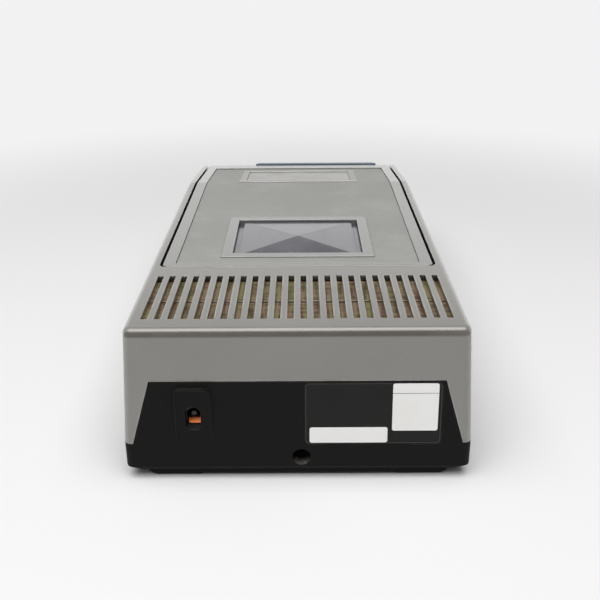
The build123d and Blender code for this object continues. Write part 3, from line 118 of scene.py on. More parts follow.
def ramp(tree, value, low, high, to_low=0.0, to_high=1.0):
    """A value carried smoothly from one range to another."""
    settings = {"interpolation_type": "SMOOTHSTEP"}
    return shade(
        tree, "MapRange", settings, n0=value, n1=low, n2=high, n3=to_low, n4=to_high
    ).outputs[0]


room_white = 0.93
room = bpy.data.worlds.new("room")
bpy.context.scene.world = room
room.use_nodes = True
room_tree = room.node_tree
room_tree.nodes.clear()
rays = shade(room_tree, "LightPath")
upward = shade(
    room_tree, "SeparateXYZ", Vector=shade(room_tree, "TexCoord").outputs["Generated"]
).outputs["Z"]
wall = ramp(room_tree, upward, 0.36, 0.44, 0.98, 0.1)
wall_colour = shade(room_tree, "CombineColor", Red=wall, Green=wall, Blue=wall).outputs[0]
backdrop = (room_white, room_white, room_white, 1)
seen_colour = between(room_tree, rays.outputs["Is Camera Ray"], wall_colour, backdrop)
seen = shade(room_tree, "Background", Color=seen_colour, Strength=1.0)
fill = shade(room_tree, "Background", Color=(1.0, 1.0, 1.0, 1), Strength=0.22)
straight = sums(room_tree, "MAXIMUM", rays.outputs["Is Camera Ray"], rays.outputs["Is Glossy Ray"])
straight = sums(room_tree, "MAXIMUM", straight, rays.outputs["Is Transmission Ray"])
room_mix = shade(room_tree, "MixShader", Fac=straight, n1=fill.outputs[0], n2=seen.outputs[0])
shade(room_tree, "OutputWorld", Surface=room_mix.outputs[0])

bpy.ops.object.light_add(type="AREA", location=(0.08, 0.42, 1.12))
lamp = bpy.context.object
lamp.name = "lamp"
lamp.data.shape = "RECTANGLE"
lamp.data.size = 1.5
lamp.data.size_y = 1.15
lamp.data.energy = 17.5
lamp.rotation_euler = (radians(-14), radians(4), 0)

paper_size = 9.0
near = 0.22  # the paper takes the part's shadow up to here, and is plain white from far on
far_off = 0.6
bpy.ops.mesh.primitive_grid_add(
    x_subdivisions=2, y_subdivisions=2, size=paper_size, location=(0, -2.0, 0)
)
paper = bpy.context.object
paper.name = "paper"
paper_finish = bpy.data.materials.new("white paper")
paper_finish.use_nodes = True
tree = paper_finish.node_tree
tree.nodes.clear()
place = shade(tree, "TexCoord").outputs["Object"]
flat_place = shade(tree, "VectorMath", {"operation": "LENGTH"}, n0=place).outputs["Value"]
lit = shade(tree, "Emission", Color=(0.89, 0.89, 0.89, 1), Strength=1.0)
direct = shade(tree, "LightPath")
direct = sums(tree, "MAXIMUM", direct.outputs["Is Camera Ray"], direct.outputs["Is Glossy Ray"])
matte_colour = between(tree, direct, (0.65, 0.65, 0.65, 1), (0.83, 0.83, 0.83, 1))
matte = shade(tree, "BsdfDiffuse", Color=matte_colour)
far = sums(tree, "MULTIPLY", ramp(tree, flat_place, near, far_off), direct)
mixed = shade(tree, "MixShader", Fac=far, n1=matte.outputs[0], n2=lit.outputs[0])
shade(tree, "OutputMaterial", Surface=mixed.outputs[0])
bpy.ops.object.transform_apply(location=True, rotation=True, scale=True)
paper.data.materials.append(paper_finish)


# ---------------------------------------------------------------- top housing
# Injection-moulded shell in silver-grey plastic under clear lacquer, screwed on from below. Its
# skin has a fine spark grain and handling has polished the rims. The bars' edges are painted
# paler, as wear and as painted highlights.
def new_group(name, inputs, outputs):
    """An empty node group whose sockets are all values, except an output named Normal."""
    group = bpy.data.node_groups.new(name, "ShaderNodeTree")
    for socket, value in inputs.items():
        made = group.interface.new_socket(socket, in_out="INPUT", socket_type="NodeSocketFloat")
        made.default_value = value
    for socket in outputs:
        kind = "NodeSocketVector" if socket == "Normal" else "NodeSocketFloat"
        group.interface.new_socket(socket, in_out="OUTPUT", socket_type=kind)
    taken = group.nodes.new("NodeGroupInput").outputs
    return group, taken, group.nodes.new("NodeGroupOutput").inputs


def noise(tree, size, detail=3.0, roughness=0.55, vector=None, stretch=None):
    """Noise whose blobs are about this size in metres. The size may be a group's input."""
    if vector is None:
        vector = shade(tree, "TexCoord").outputs["Object"]
    if stretch is not None:
        vector = shade(tree, "Mapping", Vector=vector, Scale=stretch).outputs[0]
    scale = sums(tree, "DIVIDE", 0.5, size)
    return shade(
        tree, "TexNoise", n2=scale, Vector=vector, Detail=detail, Roughness=roughness
    ).outputs[0]


grain_group, grain_in, grain_out = new_group(
    "moulded grain",
    {"Grain Size": 0.0004, "Patch Size": 0.02},
    ["Height", "Grain", "Patch"],
)
grain = noise(grain_group, grain_in["Grain Size"], 2.0)
patch = noise(grain_group, grain_in["Patch Size"], 4.0, 0.6)
grain_group.links.new(grain, grain_out["Height"])
grain_group.links.new(ramp(grain_group, grain, 0.35, 0.65), grain_out["Grain"])
grain_group.links.new(ramp(grain_group, patch, 0.32, 0.68), grain_out["Patch"])

wear_group, wear_in, wear_out = new_group(
    "worn edges", {"Width": 0.0006, "Patch Size": 0.006}, ["Wear", "Normal"]
)
softened = shade(wear_group, "Bevel", {"samples": 4}, Radius=wear_in["Width"]).outputs[0]
facing = shade(wear_group, "NewGeometry").outputs["Normal"]
alike = shade(wear_group, "VectorMath", {"operation": "DOT_PRODUCT"}, n0=softened, n1=facing)
rim = ramp(wear_group, alike.outputs["Value"], 0.99, 0.86)
patchy = ramp(wear_group, noise(wear_group, wear_in["Patch Size"], 4.0), 0.3, 0.62)
wear_group.links.new(sums(wear_group, "MULTIPLY", rim, patchy), wear_out["Wear"])
wear_group.links.new(softened, wear_out["Normal"])

rim_group, _, rim_out = new_group("rounded rims", {}, ["Rim"])
facing = shade(rim_group, "NewGeometry").outputs["Normal"]
facing = shade(rim_group, "VectorMath", {"operation": "ABSOLUTE"}, n0=facing).outputs["Vector"]
facing = shade(rim_group, "SeparateXYZ", Vector=facing).outputs
squarest = sums(rim_group, "MAXIMUM", facing["X"], facing["Y"])
squarest = sums(rim_group, "MAXIMUM", squarest, facing["Z"])
rim_group.links.new(ramp(rim_group, squarest, 0.955, 0.9), rim_out["Rim"])

dust_group, dust_in, dust_out = new_group("settled dust", {"Patch Size": 0.012}, ["Dust"])
upright = shade(
    dust_group, "SeparateXYZ", Vector=shade(dust_group, "NewGeometry").outputs["Normal"]
).outputs["Z"]
specks = ramp(dust_group, noise(dust_group, 0.0007, 2.0), 0.56, 0.72)
clouds = ramp(dust_group, noise(dust_group, dust_in["Patch Size"], 4.0), 0.4, 0.75)
fallen = sums(dust_group, "MULTIPLY", ramp(dust_group, upright, 0.3, 0.95), clouds)
specked = sums(dust_group, "MULTIPLY_ADD", specks, 0.6, 0.25)
dust_group.links.new(sums(dust_group, "MULTIPLY", fallen, specked), dust_out["Dust"])

# Grime and painted shade: darkens hollows, gaps and corners, in patches, by how closely they are
# hemmed in.
grime_and_shade_group, grime_and_shade_in, grime_and_shade_out = new_group(
    "gathered grime and painted shade",
    {"Reach": 0.003, "Patch Size": 0.006, "Open": 0.66, "Shut": 0.3},
    ["Grime"],
)
covered = shade(grime_and_shade_group, "AmbientOcclusion", {"samples": 6}, Distance=grime_and_shade_in["Reach"])
covered = ramp(grime_and_shade_group, covered.outputs["AO"], grime_and_shade_in["Open"], grime_and_shade_in["Shut"])
stuck_and_shaded = ramp(grime_and_shade_group, noise(grime_and_shade_group, grime_and_shade_in["Patch Size"], 4.0), 0.25, 0.6, 0.7, 1.0)
grime_and_shade_group.links.new(sums(grime_and_shade_group, "MULTIPLY", covered, stuck_and_shaded), grime_and_shade_out["Grime"])


def place_on(tree):
    """The place on the part, as its X, Y and Z outputs in metres."""
    place = shade(tree, "TexCoord").outputs["Object"]
    return shade(tree, "SeparateXYZ", Vector=place).outputs


def use_group(tree, group, **values):
    """Places a node group and gives its inputs their values."""
    made = tree.nodes.new("ShaderNodeGroup")
    made.node_tree = group
    for name, value in values.items():
        made.inputs[name.replace("_", " ")].default_value = value
    return made.outputs


def new_finish(name):
    """A material with only its surface shader, and that shader."""
    finish = bpy.data.materials.new(name)
    finish.use_nodes = True
    finish.node_tree.nodes.clear()
    surface = shade(finish.node_tree, "BsdfPrincipled")
    shade(finish.node_tree, "OutputMaterial", Surface=surface.outputs[0])
    return finish, finish.node_tree, surface


def feed(tree, surface, **sockets):
    """Sets or feeds the surface shader's sockets."""
    for name, value in sockets.items():
        socket = surface.inputs[name.replace("_", " ")]
        if isinstance(value, bpy.types.NodeSocket):
            tree.links.new(value, socket)
        else:
            socket.default_value = value


def bump(tree, height, distance, strength=1.0, normal=None):
    """A bumped normal. The distance is the height of the bumps in metres."""
    made = shade(tree, "Bump", Height=height, Distance=distance, Strength=strength)
    if normal is not None:
        tree.links.new(normal, made.inputs["Normal"])
    return made.outputs[0]


def finish_in(finish, *names):
    """Gives CAD nodes a finish."""
    for name in names:
        for place in frame["nodes"][name].material_slots:
            place.material = finish


def moulded_plastic(
    name,
    colour,
    worn,
    rough,
    grain_size,
    grain_height,
    dust,
    specular=0.5,
    edge=0.0006,
    grime_and_shade=0.5,
    grime_and_shade_open=0.66,
    tone_spread=0.05,
    lacquer=0.0,
    polish=0.0,
    polished=(0.5, 0.49, 0.47),
):
    """Moulded plastic: grain, patchy tone, paler worn edges, a little dust, and grime with painted
    shade in its corners. It may be lacquered, and hands may have polished its rounded rims."""
    finish, tree, surface = new_finish(name)
    skin = use_group(tree, grain_group, Grain_Size=grain_size, Patch_Size=0.022)
    edges = use_group(tree, wear_group, Width=edge, Patch_Size=0.007)
    fallen = use_group(tree, dust_group, Patch_Size=0.015)
    darker = tuple((1 - tone_spread) * part for part in colour) + (1,)
    lighter = tuple((1 + tone_spread) * part for part in colour) + (1,)
    tone = sums(tree, "MULTIPLY", skin["Patch"], 0.55)
    tone = sums(tree, "MULTIPLY_ADD", skin["Grain"], 0.45, tone)
    body = between(tree, tone, darker, lighter)
    body = between(tree, sums(tree, "MULTIPLY", edges["Wear"], 0.7), body, worn + (1,))
    dusted = sums(tree, "MULTIPLY", fallen["Dust"], dust)
    body = between(tree, dusted, body, (0.42, 0.4, 0.37, 1))
    stuck_and_shaded = use_group(
        tree, grime_and_shade_group, Reach=0.0035, Patch_Size=0.005, Open=grime_and_shade_open, Shut=grime_and_shade_open - 0.38
    )
    dirt_and_shade = sums(tree, "MULTIPLY", stuck_and_shaded["Grime"], grime_and_shade)
    body = between(tree, dirt_and_shade, body, (0.022, 0.018, 0.014, 1))
    roughness = sums(tree, "MULTIPLY_ADD", skin["Patch"], 0.1, rough - 0.05)
    roughness = sums(tree, "MULTIPLY_ADD", fallen["Dust"], 0.3 * dust, roughness)
    if polish > 0.0:
        rims = sums(tree, "MULTIPLY", use_group(tree, rim_group)["Rim"], polish)
        body = between(tree, rims, body, polished + (1,))
        roughness = sums(tree, "MULTIPLY_ADD", rims, -0.2, roughness)
        tree.links.new(rims, surface.inputs["Metallic"])
    feed(
        tree,
        surface,
        Base_Color=body,
        Roughness=roughness,
        Specular_IOR_Level=specular,
        Coat_Weight=lacquer,
        Coat_Roughness=0.2,
        Normal=bump(tree, skin["Height"], grain_height, 1.0, edges["Normal"]),
    )
    return finish


# Edges paler as wear and as painted highlights; hollows near black with grime and painted shade.
silver_grey = moulded_plastic(
    "silver grey plastic",
    colour=(0.23, 0.221, 0.203),
    worn=(0.72, 0.71, 0.68),
    rough=0.33,
    grain_size=0.0004,
    grain_height=0.000008,
    dust=0.1,
    edge=0.0012,
    grime_and_shade=0.98,
    grime_and_shade_open=0.9,
    lacquer=0.9,
    polish=0.12,
)
# The rib under the bars is as dusty as the board it rests on. A painted dark reflection, a brown
# band, lies along the rear wall under its rounded rim.
board_low, board_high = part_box("grille_board")
shell_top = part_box("top_housing")[1].z
rib_depth = 0.0009
shade_below_top = 0.0022
shade_half_width = 0.0017
shade_core = 0.0005
tree = silver_grey.node_tree
surface = next(node for node in tree.nodes if node.type == "BSDF_PRINCIPLED")
clean_colour = surface.inputs["Base Color"].links[0].from_socket
spot = place_on(tree)
dusty_rib = sums(tree, "LESS_THAN", sums(tree, "ABSOLUTE", spot["X"]), board_high.x)
for within in (
    sums(tree, "GREATER_THAN", spot["Y"], board_low.y),
    sums(tree, "LESS_THAN", spot["Y"], board_high.y),
    sums(tree, "LESS_THAN", spot["Z"], board_high.z + rib_depth),
):
    dusty_rib = sums(tree, "MULTIPLY", dusty_rib, within)
rib_colour = between(tree, dusty_rib, clean_colour, (0.3, 0.23, 0.15, 1))
# Painted reflection: a dark brown band just under the rim, standing in for the dark room reflected
# there.
off_centre = sums(tree, "ABSOLUTE", sums(tree, "ADD", spot["Z"], shade_below_top - shell_top))
painted_reflection_under_rim = ramp(tree, off_centre, shade_half_width, shade_core)
facing = shade(tree, "NewGeometry").outputs["Normal"]
rearward = shade(tree, "SeparateXYZ", Vector=facing).outputs["Y"]
painted_reflection_under_rim = sums(tree, "MULTIPLY", painted_reflection_under_rim, ramp(tree, rearward, 0.62, 0.8))
patchy = ramp(tree, noise(tree, 0.02, 3.0), 0.3, 0.6, 0.7, 0.95)
painted_reflection_under_rim = sums(tree, "MULTIPLY", painted_reflection_under_rim, patchy)
feed(tree, surface, Base_Color=between(tree, painted_reflection_under_rim, rib_colour, (0.05, 0.038, 0.026, 1)))
finish_in(silver_grey, "top_housing")

# ---------------------------------------------------------------- bottom housing
# Black moulded tray with its rear panel in one piece, unpainted, in a duller grain than the top.
# Its small upward ledges are painted paler, as dust and as the light falling on them.
black = moulded_plastic(
    "black moulded plastic",
    colour=(0.0076, 0.0075, 0.0073),
    worn=(0.05, 0.049, 0.046),
    rough=0.55,
    grain_size=0.0004,
    grain_height=0.000018,
    # The heavy dust also paints the light on the upward ledges.
    dust=0.8,
    specular=0.1,
    grime_and_shade=0.9,
)
finish_in(black, "bottom_housing")

# ---------------------------------------------------------------- deck tray
# The cassette's well, moulded in the same black with a coarser grain and screwed to the base.
# Nobody wipes it, so it holds dust.
deck_black = moulded_plastic(
    "deck plastic",
    colour=(0.017, 0.017, 0.018),
    worn=(0.05, 0.05, 0.05),
    rough=0.55,
    grain_size=0.0009,
    grain_height=0.00004,
    dust=0.25,
)
finish_in(deck_black, "deck_tray")

# ---------------------------------------------------------------- feet
# Moulded rubber pads, stuck under the base's four corners. They are dull, and greyed where they
# stand.
foot_rubber = moulded_plastic(
    "foot rubber",
    colour=(0.022, 0.022, 0.022),
    worn=(0.06, 0.058, 0.055),
    rough=0.8,
    grain_size=0.0006,
    grain_height=0.00003,
    dust=0.3,
    specular=0.3,
)
finish_in(foot_rubber, "feet")

# ---------------------------------------------------------------- grille board
# Pressed brown fibre board under the bars. Its fibres lie both ways and dust has settled on it
# between the bars.
fibre, tree, surface = new_finish("fibre board")
along = noise(tree, 0.0009, 4.0, stretch=(1.0, 0.08, 1.0))
across = noise(tree, 0.0012, 4.0, stretch=(0.15, 1.0, 1.0))
fibres = sums(tree, "MULTIPLY_ADD", along, 0.6, sums(tree, "MULTIPLY", across, 0.4))
stain = ramp(tree, noise(tree, 0.0013, 4.0, stretch=(1.0, 0.06, 1.0)), 0.4, 0.6)
board_colour = between(
    tree, ramp(tree, fibres, 0.4, 0.6), (0.1, 0.055, 0.038, 1), (0.29, 0.2, 0.14, 1)
)
olive = between(
    tree, ramp(tree, fibres, 0.4, 0.6), (0.095, 0.088, 0.035, 1), (0.25, 0.23, 0.11, 1)
)
board_colour = between(tree, stain, board_colour, olive)
fallen = use_group(tree, dust_group, Patch_Size=0.008)
dusted = sums(tree, "MULTIPLY", fallen["Dust"], 0.6)
board_colour = between(tree, dusted, board_colour, (0.42, 0.37, 0.27, 1))
feed(
    tree,
    surface,
    Base_Color=board_colour,
    Roughness=ramp(tree, fibres, 0.3, 0.7, 0.7, 0.9),
    Specular_IOR_Level=0.2,
    Normal=bump(tree, fibres, 0.0001),
)
finish_in(fibre, "grille_board")

# ---------------------------------------------------------------- lid
# The lid's shell is the housing's plastic from another shot, a shade paler. A thin painted panel
# is let into it, and the window's bezel is moulded in the same grey.
lid_grey = moulded_plastic(
    "lid plastic",
    colour=(0.25, 0.247, 0.235),
    worn=(0.55, 0.54, 0.51),
    rough=0.33,
    grain_size=0.0004,
    grain_height=0.000008,
    dust=0.1,
    grime_and_shade=0.2,
    grime_and_shade_open=0.7,
    lacquer=0.9,
    polish=0.2,
)
finish_in(lid_grey, "lid_shell", "window_bezel")

dress_paint, tree, surface = new_finish("dress panel paint")
skin = use_group(tree, grain_group, Grain_Size=0.0004, Patch_Size=0.03)
fallen = use_group(tree, dust_group, Patch_Size=0.02)
rubbed = ramp(tree, noise(tree, 0.012, 5.0, 0.7), 0.45, 0.8)
tone = sums(tree, "MULTIPLY_ADD", skin["Grain"], 0.4, sums(tree, "MULTIPLY", skin["Patch"], 0.6))
panel_colour = between(tree, tone, (0.29, 0.29, 0.272, 1), (0.328, 0.328, 0.31, 1))
paler = sums(tree, "MULTIPLY", rubbed, 0.35)
panel_colour = between(tree, paler, panel_colour, (0.42, 0.42, 0.405, 1))
dusted = sums(tree, "MULTIPLY", fallen["Dust"], 0.15)
panel_colour = between(tree, dusted, panel_colour, (0.45, 0.43, 0.4, 1))
feed(
    tree,
    surface,
    Base_Color=panel_colour,
    Roughness=ramp(tree, rubbed, 0.0, 1.0, 0.52, 0.44),
    Specular_IOR_Level=0.4,
    Normal=bump(tree, skin["Height"], 0.000008),
)
finish_in(dress_paint, "lid_panel")

# ---------------------------------------------------------------- window lens
# Smoked clear plastic, moulded as a shallow pyramid and held by the bezel. It has the fine
# scratches of years of wiping.
smoke, tree, surface = new_finish("smoked clear plastic")
wipes = noise(tree, 0.0007, 3.0, 0.6, stretch=(0.1, 1.0, 1.0))
haze = ramp(tree, noise(tree, 0.008, 5.0, 0.65), 0.35, 0.7)
scuffs = ramp(tree, noise(tree, 0.003, 3.0, 0.6, stretch=(1.0, 0.4, 1.0)), 0.45, 0.8)
# Dirt and painted shade darken the lens, and thin its coat, where the bezel's walls hem it in.
stuck_and_shaded = use_group(tree, grime_and_shade_group, Reach=0.0022, Patch_Size=0.004, Open=0.95, Shut=0.6)
smoke_colour = between(tree, haze, (0.084, 0.079, 0.104, 1), (0.118, 0.112, 0.141, 1))
paler = sums(tree, "MULTIPLY", scuffs, 0.15)
smoke_colour = between(tree, paler, smoke_colour, (0.3, 0.295, 0.33, 1))
dirt_and_shade = sums(tree, "MULTIPLY", stuck_and_shaded["Grime"], 0.15)
feed(
    tree,
    surface,
    Base_Color=between(tree, dirt_and_shade, smoke_colour, (0.02, 0.019, 0.022, 1)),
    Roughness=sums(tree, "MULTIPLY_ADD", scuffs, 0.12, ramp(tree, haze, 0.0, 1.0, 0.13, 0.22)),
    Transmission_Weight=0.3,
    IOR=1.55,
    Coat_Weight=sums(tree, "MULTIPLY_ADD", stuck_and_shaded["Grime"], -0.4, 0.88),
    Coat_Roughness=0.12,
    Normal=bump(tree, wipes, 0.000002),
)
finish_in(smoke, "window_lens")

# ---------------------------------------------------------------- badge
# A plated rim round a plate of brushed aluminium, which is bare. Both are let into the lid's
# slope, and dirt and painted shade lie in the plate's corners.
plated, tree, surface = new_finish("plated rim")
skin = use_group(tree, grain_group, Grain_Size=0.0003, Patch_Size=0.01)
edges = use_group(tree, wear_group, Width=0.0003, Patch_Size=0.004)
feed(
    tree,
    surface,
    Base_Color=between(tree, skin["Patch"], (0.34, 0.335, 0.32, 1), (0.43, 0.42, 0.4, 1)),
    Roughness=ramp(tree, skin["Patch"], 0.0, 1.0, 0.3, 0.4),
    Metallic=0.6,
    Normal=bump(tree, skin["Height"], 0.000002, 1.0, edges["Normal"]),
)
finish_in(plated, "badge_frame")

brushed, tree, surface = new_finish("brushed badge plate")
brushing = noise(tree, 0.0003, 3.0, 0.6, stretch=(0.05, 1.0, 1.0))
tarnish = ramp(tree, noise(tree, 0.007, 4.0), 0.35, 0.7)
# Dirt and painted shade in the plate's corners.
stuck_and_shaded = use_group(tree, grime_and_shade_group, Reach=0.002, Patch_Size=0.004)
duller = sums(tree, "MULTIPLY", tarnish, 0.6)
plate_colour = between(tree, duller, (0.52, 0.515, 0.5, 1), (0.43, 0.42, 0.395, 1))
dirt_and_shade = sums(tree, "MULTIPLY", stuck_and_shaded["Grime"], 0.8)
feed(
    tree,
    surface,
    Base_Color=between(tree, dirt_and_shade, plate_colour, (0.05, 0.045, 0.04, 1)),
    Roughness=ramp(tree, brushing, 0.3, 0.7, 0.36, 0.5),
    Metallic=0.5,
    Normal=bump(tree, brushing, 0.000006),
)
finish_in(brushed, "badge_plate")

# ---------------------------------------------------------------- eject bar
# The bar outside and its arms and hooks inside are one moulding in blue-grey plastic, polished by
# thumbs along its upper edge.
blue_grey = moulded_plastic(
    "blue grey plastic",
    colour=(0.15, 0.195, 0.25),
    worn=(0.4, 0.46, 0.53),
    rough=0.34,
    grain_size=0.0004,
    grain_height=0.000015,
    dust=0.1,
)
finish_in(blue_grey, "eject_bar")

# ---------------------------------------------------------------- rear label
# Black foil with a satin face, stuck in the rear panel's recess, which leans with the panel. A
# fine printed line runs round it a little inside its edge.
low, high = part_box("rear_label")
label_middle = (low + high) / 2
lean = radians(5)
line_width = 0.00024
line_inset = 0.0004
foil, tree, surface = new_finish("label foil")
spot = shade(tree, "Mapping", {"vector_type": "POINT"}, Location=tuple(-label_middle))
tree.links.new(shade(tree, "TexCoord").outputs["Object"], spot.inputs["Vector"])
spot = shade(tree, "SeparateXYZ", Vector=spot.outputs[0])
corner = 0.0016
half_width = (high.x - low.x) / 2 - line_inset - corner
half_height = (high.z - low.z) / 2 / cos(lean) - line_inset - corner
beyond_x = sums(tree, "SUBTRACT", sums(tree, "ABSOLUTE", spot.outputs["X"]), half_width)
beyond_z = sums(tree, "SUBTRACT", sums(tree, "ABSOLUTE", spot.outputs["Z"]), half_height)
outer = shade(
    tree,
    "CombineXYZ",
    X=sums(tree, "MAXIMUM", beyond_x, 0.0),
    Y=sums(tree, "MAXIMUM", beyond_z, 0.0),
)
outer = shade(tree, "VectorMath", {"operation": "LENGTH"}, n0=outer.outputs[0]).outputs["Value"]
inner = sums(tree, "MINIMUM", sums(tree, "MAXIMUM", beyond_x, beyond_z), 0.0)
border = sums(tree, "COMPARE", sums(tree, "ADD", outer, inner), corner - 0.0001, line_width / 2)
skin = use_group(tree, grain_group, Grain_Size=0.0003, Patch_Size=0.009)
ink = between(tree, skin["Patch"], (0.008, 0.0078, 0.0075, 1), (0.011, 0.0105, 0.01, 1))
feed(
    tree,
    surface,
    Base_Color=between(tree, border, ink, (0.06, 0.058, 0.054, 1)),
    Roughness=ramp(tree, skin["Patch"], 0.0, 1.0, 0.4, 0.5),
    Specular_IOR_Level=0.2,
    Normal=bump(tree, skin["Height"], 0.000004),
)
finish_in(foil, "rear_label")

# ---------------------------------------------------------------- label stickers
# Two bare paper stickers on the foil, one with a ruled line near its top. The paper has yellowed
# a little in places.
low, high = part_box("label_stickers")
ruled_height = high.z - 0.0042
sticker_paper, tree, surface = new_finish("sticker paper")
ruled = sums(tree, "COMPARE", place_on(tree)["Z"], ruled_height, 0.0001)
pulp = noise(tree, 0.0005, 4.0)
yellowed = ramp(tree, noise(tree, 0.006, 4.0), 0.4, 0.75)
yellowed = sums(tree, "MULTIPLY", yellowed, 0.5)
paper_colour = between(tree, yellowed, (0.97, 0.965, 0.95, 1), (0.93, 0.91, 0.86, 1))
feed(
    tree,
    surface,
    Base_Color=between(tree, ruled, paper_colour, (0.05, 0.05, 0.05, 1)),
    Roughness=ramp(tree, pulp, 0.3, 0.7, 0.5, 0.65),
    Normal=bump(tree, pulp, 0.000008),
)
finish_in(sticker_paper, "label_stickers")


# ---------------------------------------------------------------- screws, shafts and pins
# Steel, drawn, turned or pressed and then zinc plated, with fine marks and a few dull spots. The
# rear screw is blackened and the leaf springs are bare spring steel.
def plated_metal(name, colour, spot_colour, rough, mark_height=0.000004, stretch=(1.0, 1.0, 1.0)):
    """Bare or plated metal with fine marks and dull spots."""
    finish, tree, surface = new_finish(name)
    marks = noise(tree, 0.0005, 3.0, 0.6, stretch=stretch)
    spots = ramp(tree, noise(tree, 0.003, 5.0, 0.65), 0.52, 0.72)
    dulled = sums(tree, "MULTIPLY_ADD", spots, 0.5, marks)
    feed(
        tree,
        surface,
        Base_Color=between(tree, spots, colour + (1,), spot_colour + (1,)),
        Roughness=ramp(tree, dulled, 0.2, 1.2, rough, rough + 0.3),
        Metallic=1.0,
        Normal=bump(tree, marks, mark_height),
    )
    return finish


zinc = plated_metal("zinc plate", (0.58, 0.57, 0.53), (0.38, 0.35, 0.28), 0.28)
finish_in(
    zinc,
    "housing_screws",
    "deck_screws",
    "motor_screws",
    "board_screws",
    "reel_shafts",
    "hinge_pins",
    "latch_pin",
    "motor_shaft",
    "motor_bracket",
)
blackened = plated_metal("blackened steel", (0.007, 0.0068, 0.0065), (0.012, 0.01, 0.009), 0.6)
finish_in(blackened, "rear_screw")
spring_steel = plated_metal("spring steel", (0.42, 0.41, 0.39), (0.24, 0.21, 0.18), 0.25)
finish_in(spring_steel, "hold_down_springs")

# ---------------------------------------------------------------- power jack
# A glossy black jack behind the slot in the rear panel, with a tarnished nickel pin and a copper
# spring strip. The start switch's body is moulded in the same plastic.
jack_black = moulded_plastic(
    "jack plastic",
    colour=(0.012, 0.012, 0.012),
    worn=(0.03, 0.03, 0.03),
    rough=0.25,
    grain_size=0.0003,
    grain_height=0.000004,
    dust=0.05,
)
finish_in(jack_black, "dc_jack", "switch_body")
copper = plated_metal("copper strip", (0.72, 0.21, 0.07), (0.48, 0.14, 0.05), 0.35)
finish_in(copper, "jack_contact")
nickel = plated_metal("tarnished nickel", (0.1, 0.095, 0.09), (0.06, 0.055, 0.05), 0.5)
finish_in(nickel, "jack_pin")

# ---------------------------------------------------------------- lid springs
# A torsion spring of steel wire round each hinge pin. One leg lies under the lid and turns with it,
# the other bears on the deck tray, and the coils between them twist.
hinge = next(joint for joint in frame["joints"] if joint["name"] == "lid_hinge")
hinge_point = Vector(hinge["pos_m"])


steps_per_turn = 28


def wound_wire(name, place, axis, beside, wire, turns, run):
    """Winds round wire about an axis through a place. The first turn starts beside that place."""
    bpy.ops.mesh.primitive_circle_add(vertices=12, radius=wire, location=place)
    wound = bpy.context.object
    wound.name = name
    bpy.ops.object.mode_set(mode="EDIT")
    if axis == "Z":
        bpy.ops.transform.rotate(value=pi / 2, orient_axis="X", center_override=tuple(place))
    bpy.ops.transform.translate(value=beside)
    bpy.ops.object.mode_set(mode="OBJECT")
    screw = wound.modifiers.new("turns", "SCREW")
    screw.axis = axis
    screw.angle = 2 * pi * turns
    screw.screw_offset = run
    screw.steps = screw.render_steps = round(steps_per_turn * turns)
    bpy.ops.object.modifier_apply(modifier="turns")
    bpy.ops.object.transform_apply(location=True, rotation=True, scale=True)
    return wound


def straight_end(wound, wire, end, way):
    """Draws the wire out straight from one of its open ends, and closes it there."""
    bpy.ops.object.mode_set(mode="EDIT")
    bpy.ops.mesh.select_all(action="DESELECT")
    mesh = bmesh.from_edit_mesh(wound.data)
    for edge in mesh.edges:
        middle = (edge.verts[0].co + edge.verts[1].co) / 2
        if edge.is_boundary and (middle - end).length < 1.5 * wire:
            edge.select_set(True)
    bmesh.update_edit_mesh(wound.data)
    bpy.ops.mesh.extrude_region_move(TRANSFORM_OT_translate={"value": tuple(way)})
    bpy.ops.mesh.edge_face_add()
    bpy.ops.object.mode_set(mode="OBJECT")


def smooth_wire(wound):
    """Turns the faces outwards and smooths them, with the ends left flat."""
    bpy.ops.object.mode_set(mode="EDIT")
    bpy.ops.mesh.select_all(action="SELECT")
    bpy.ops.mesh.normals_make_consistent(inside=False)
    bpy.ops.object.mode_set(mode="OBJECT")
    bpy.ops.object.shade_smooth_by_angle(angle=radians(40))
    wound.data.materials.append(spring_steel)


wire_radius = 0.0004
coil_radius = 0.00235
coil_turns = 5.25
lid_leg = 0.015
deck_leg = 0.010
for side, spring_name in ((-1, "lid_spring_left"), (1, "lid_spring_right")):
    low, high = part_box(spring_name)
    inner = side * (min(abs(low.x), abs(high.x)) + wire_radius)
    outer = side * (max(abs(low.x), abs(high.x)) - wire_radius)
    inner_end = Vector((inner, hinge_point.y, hinge_point.z))
    outer_end = Vector((outer, hinge_point.y, hinge_point.z))
    twisted = wound_wire(
        "twisted_" + spring_name,
        inner_end,
        "X",
        (0, coil_radius, 0),
        wire_radius,
        coil_turns,
        outer - inner,
    )
    straight_end(twisted, wire_radius, inner_end + Vector((0, coil_radius, 0)), (0, 0, -deck_leg))
    straight_end(twisted, wire_radius, outer_end + Vector((0, 0, coil_radius)), (0, -lid_leg, 0))
    smooth_wire(twisted)
    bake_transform(twisted)
    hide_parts(spring_name)

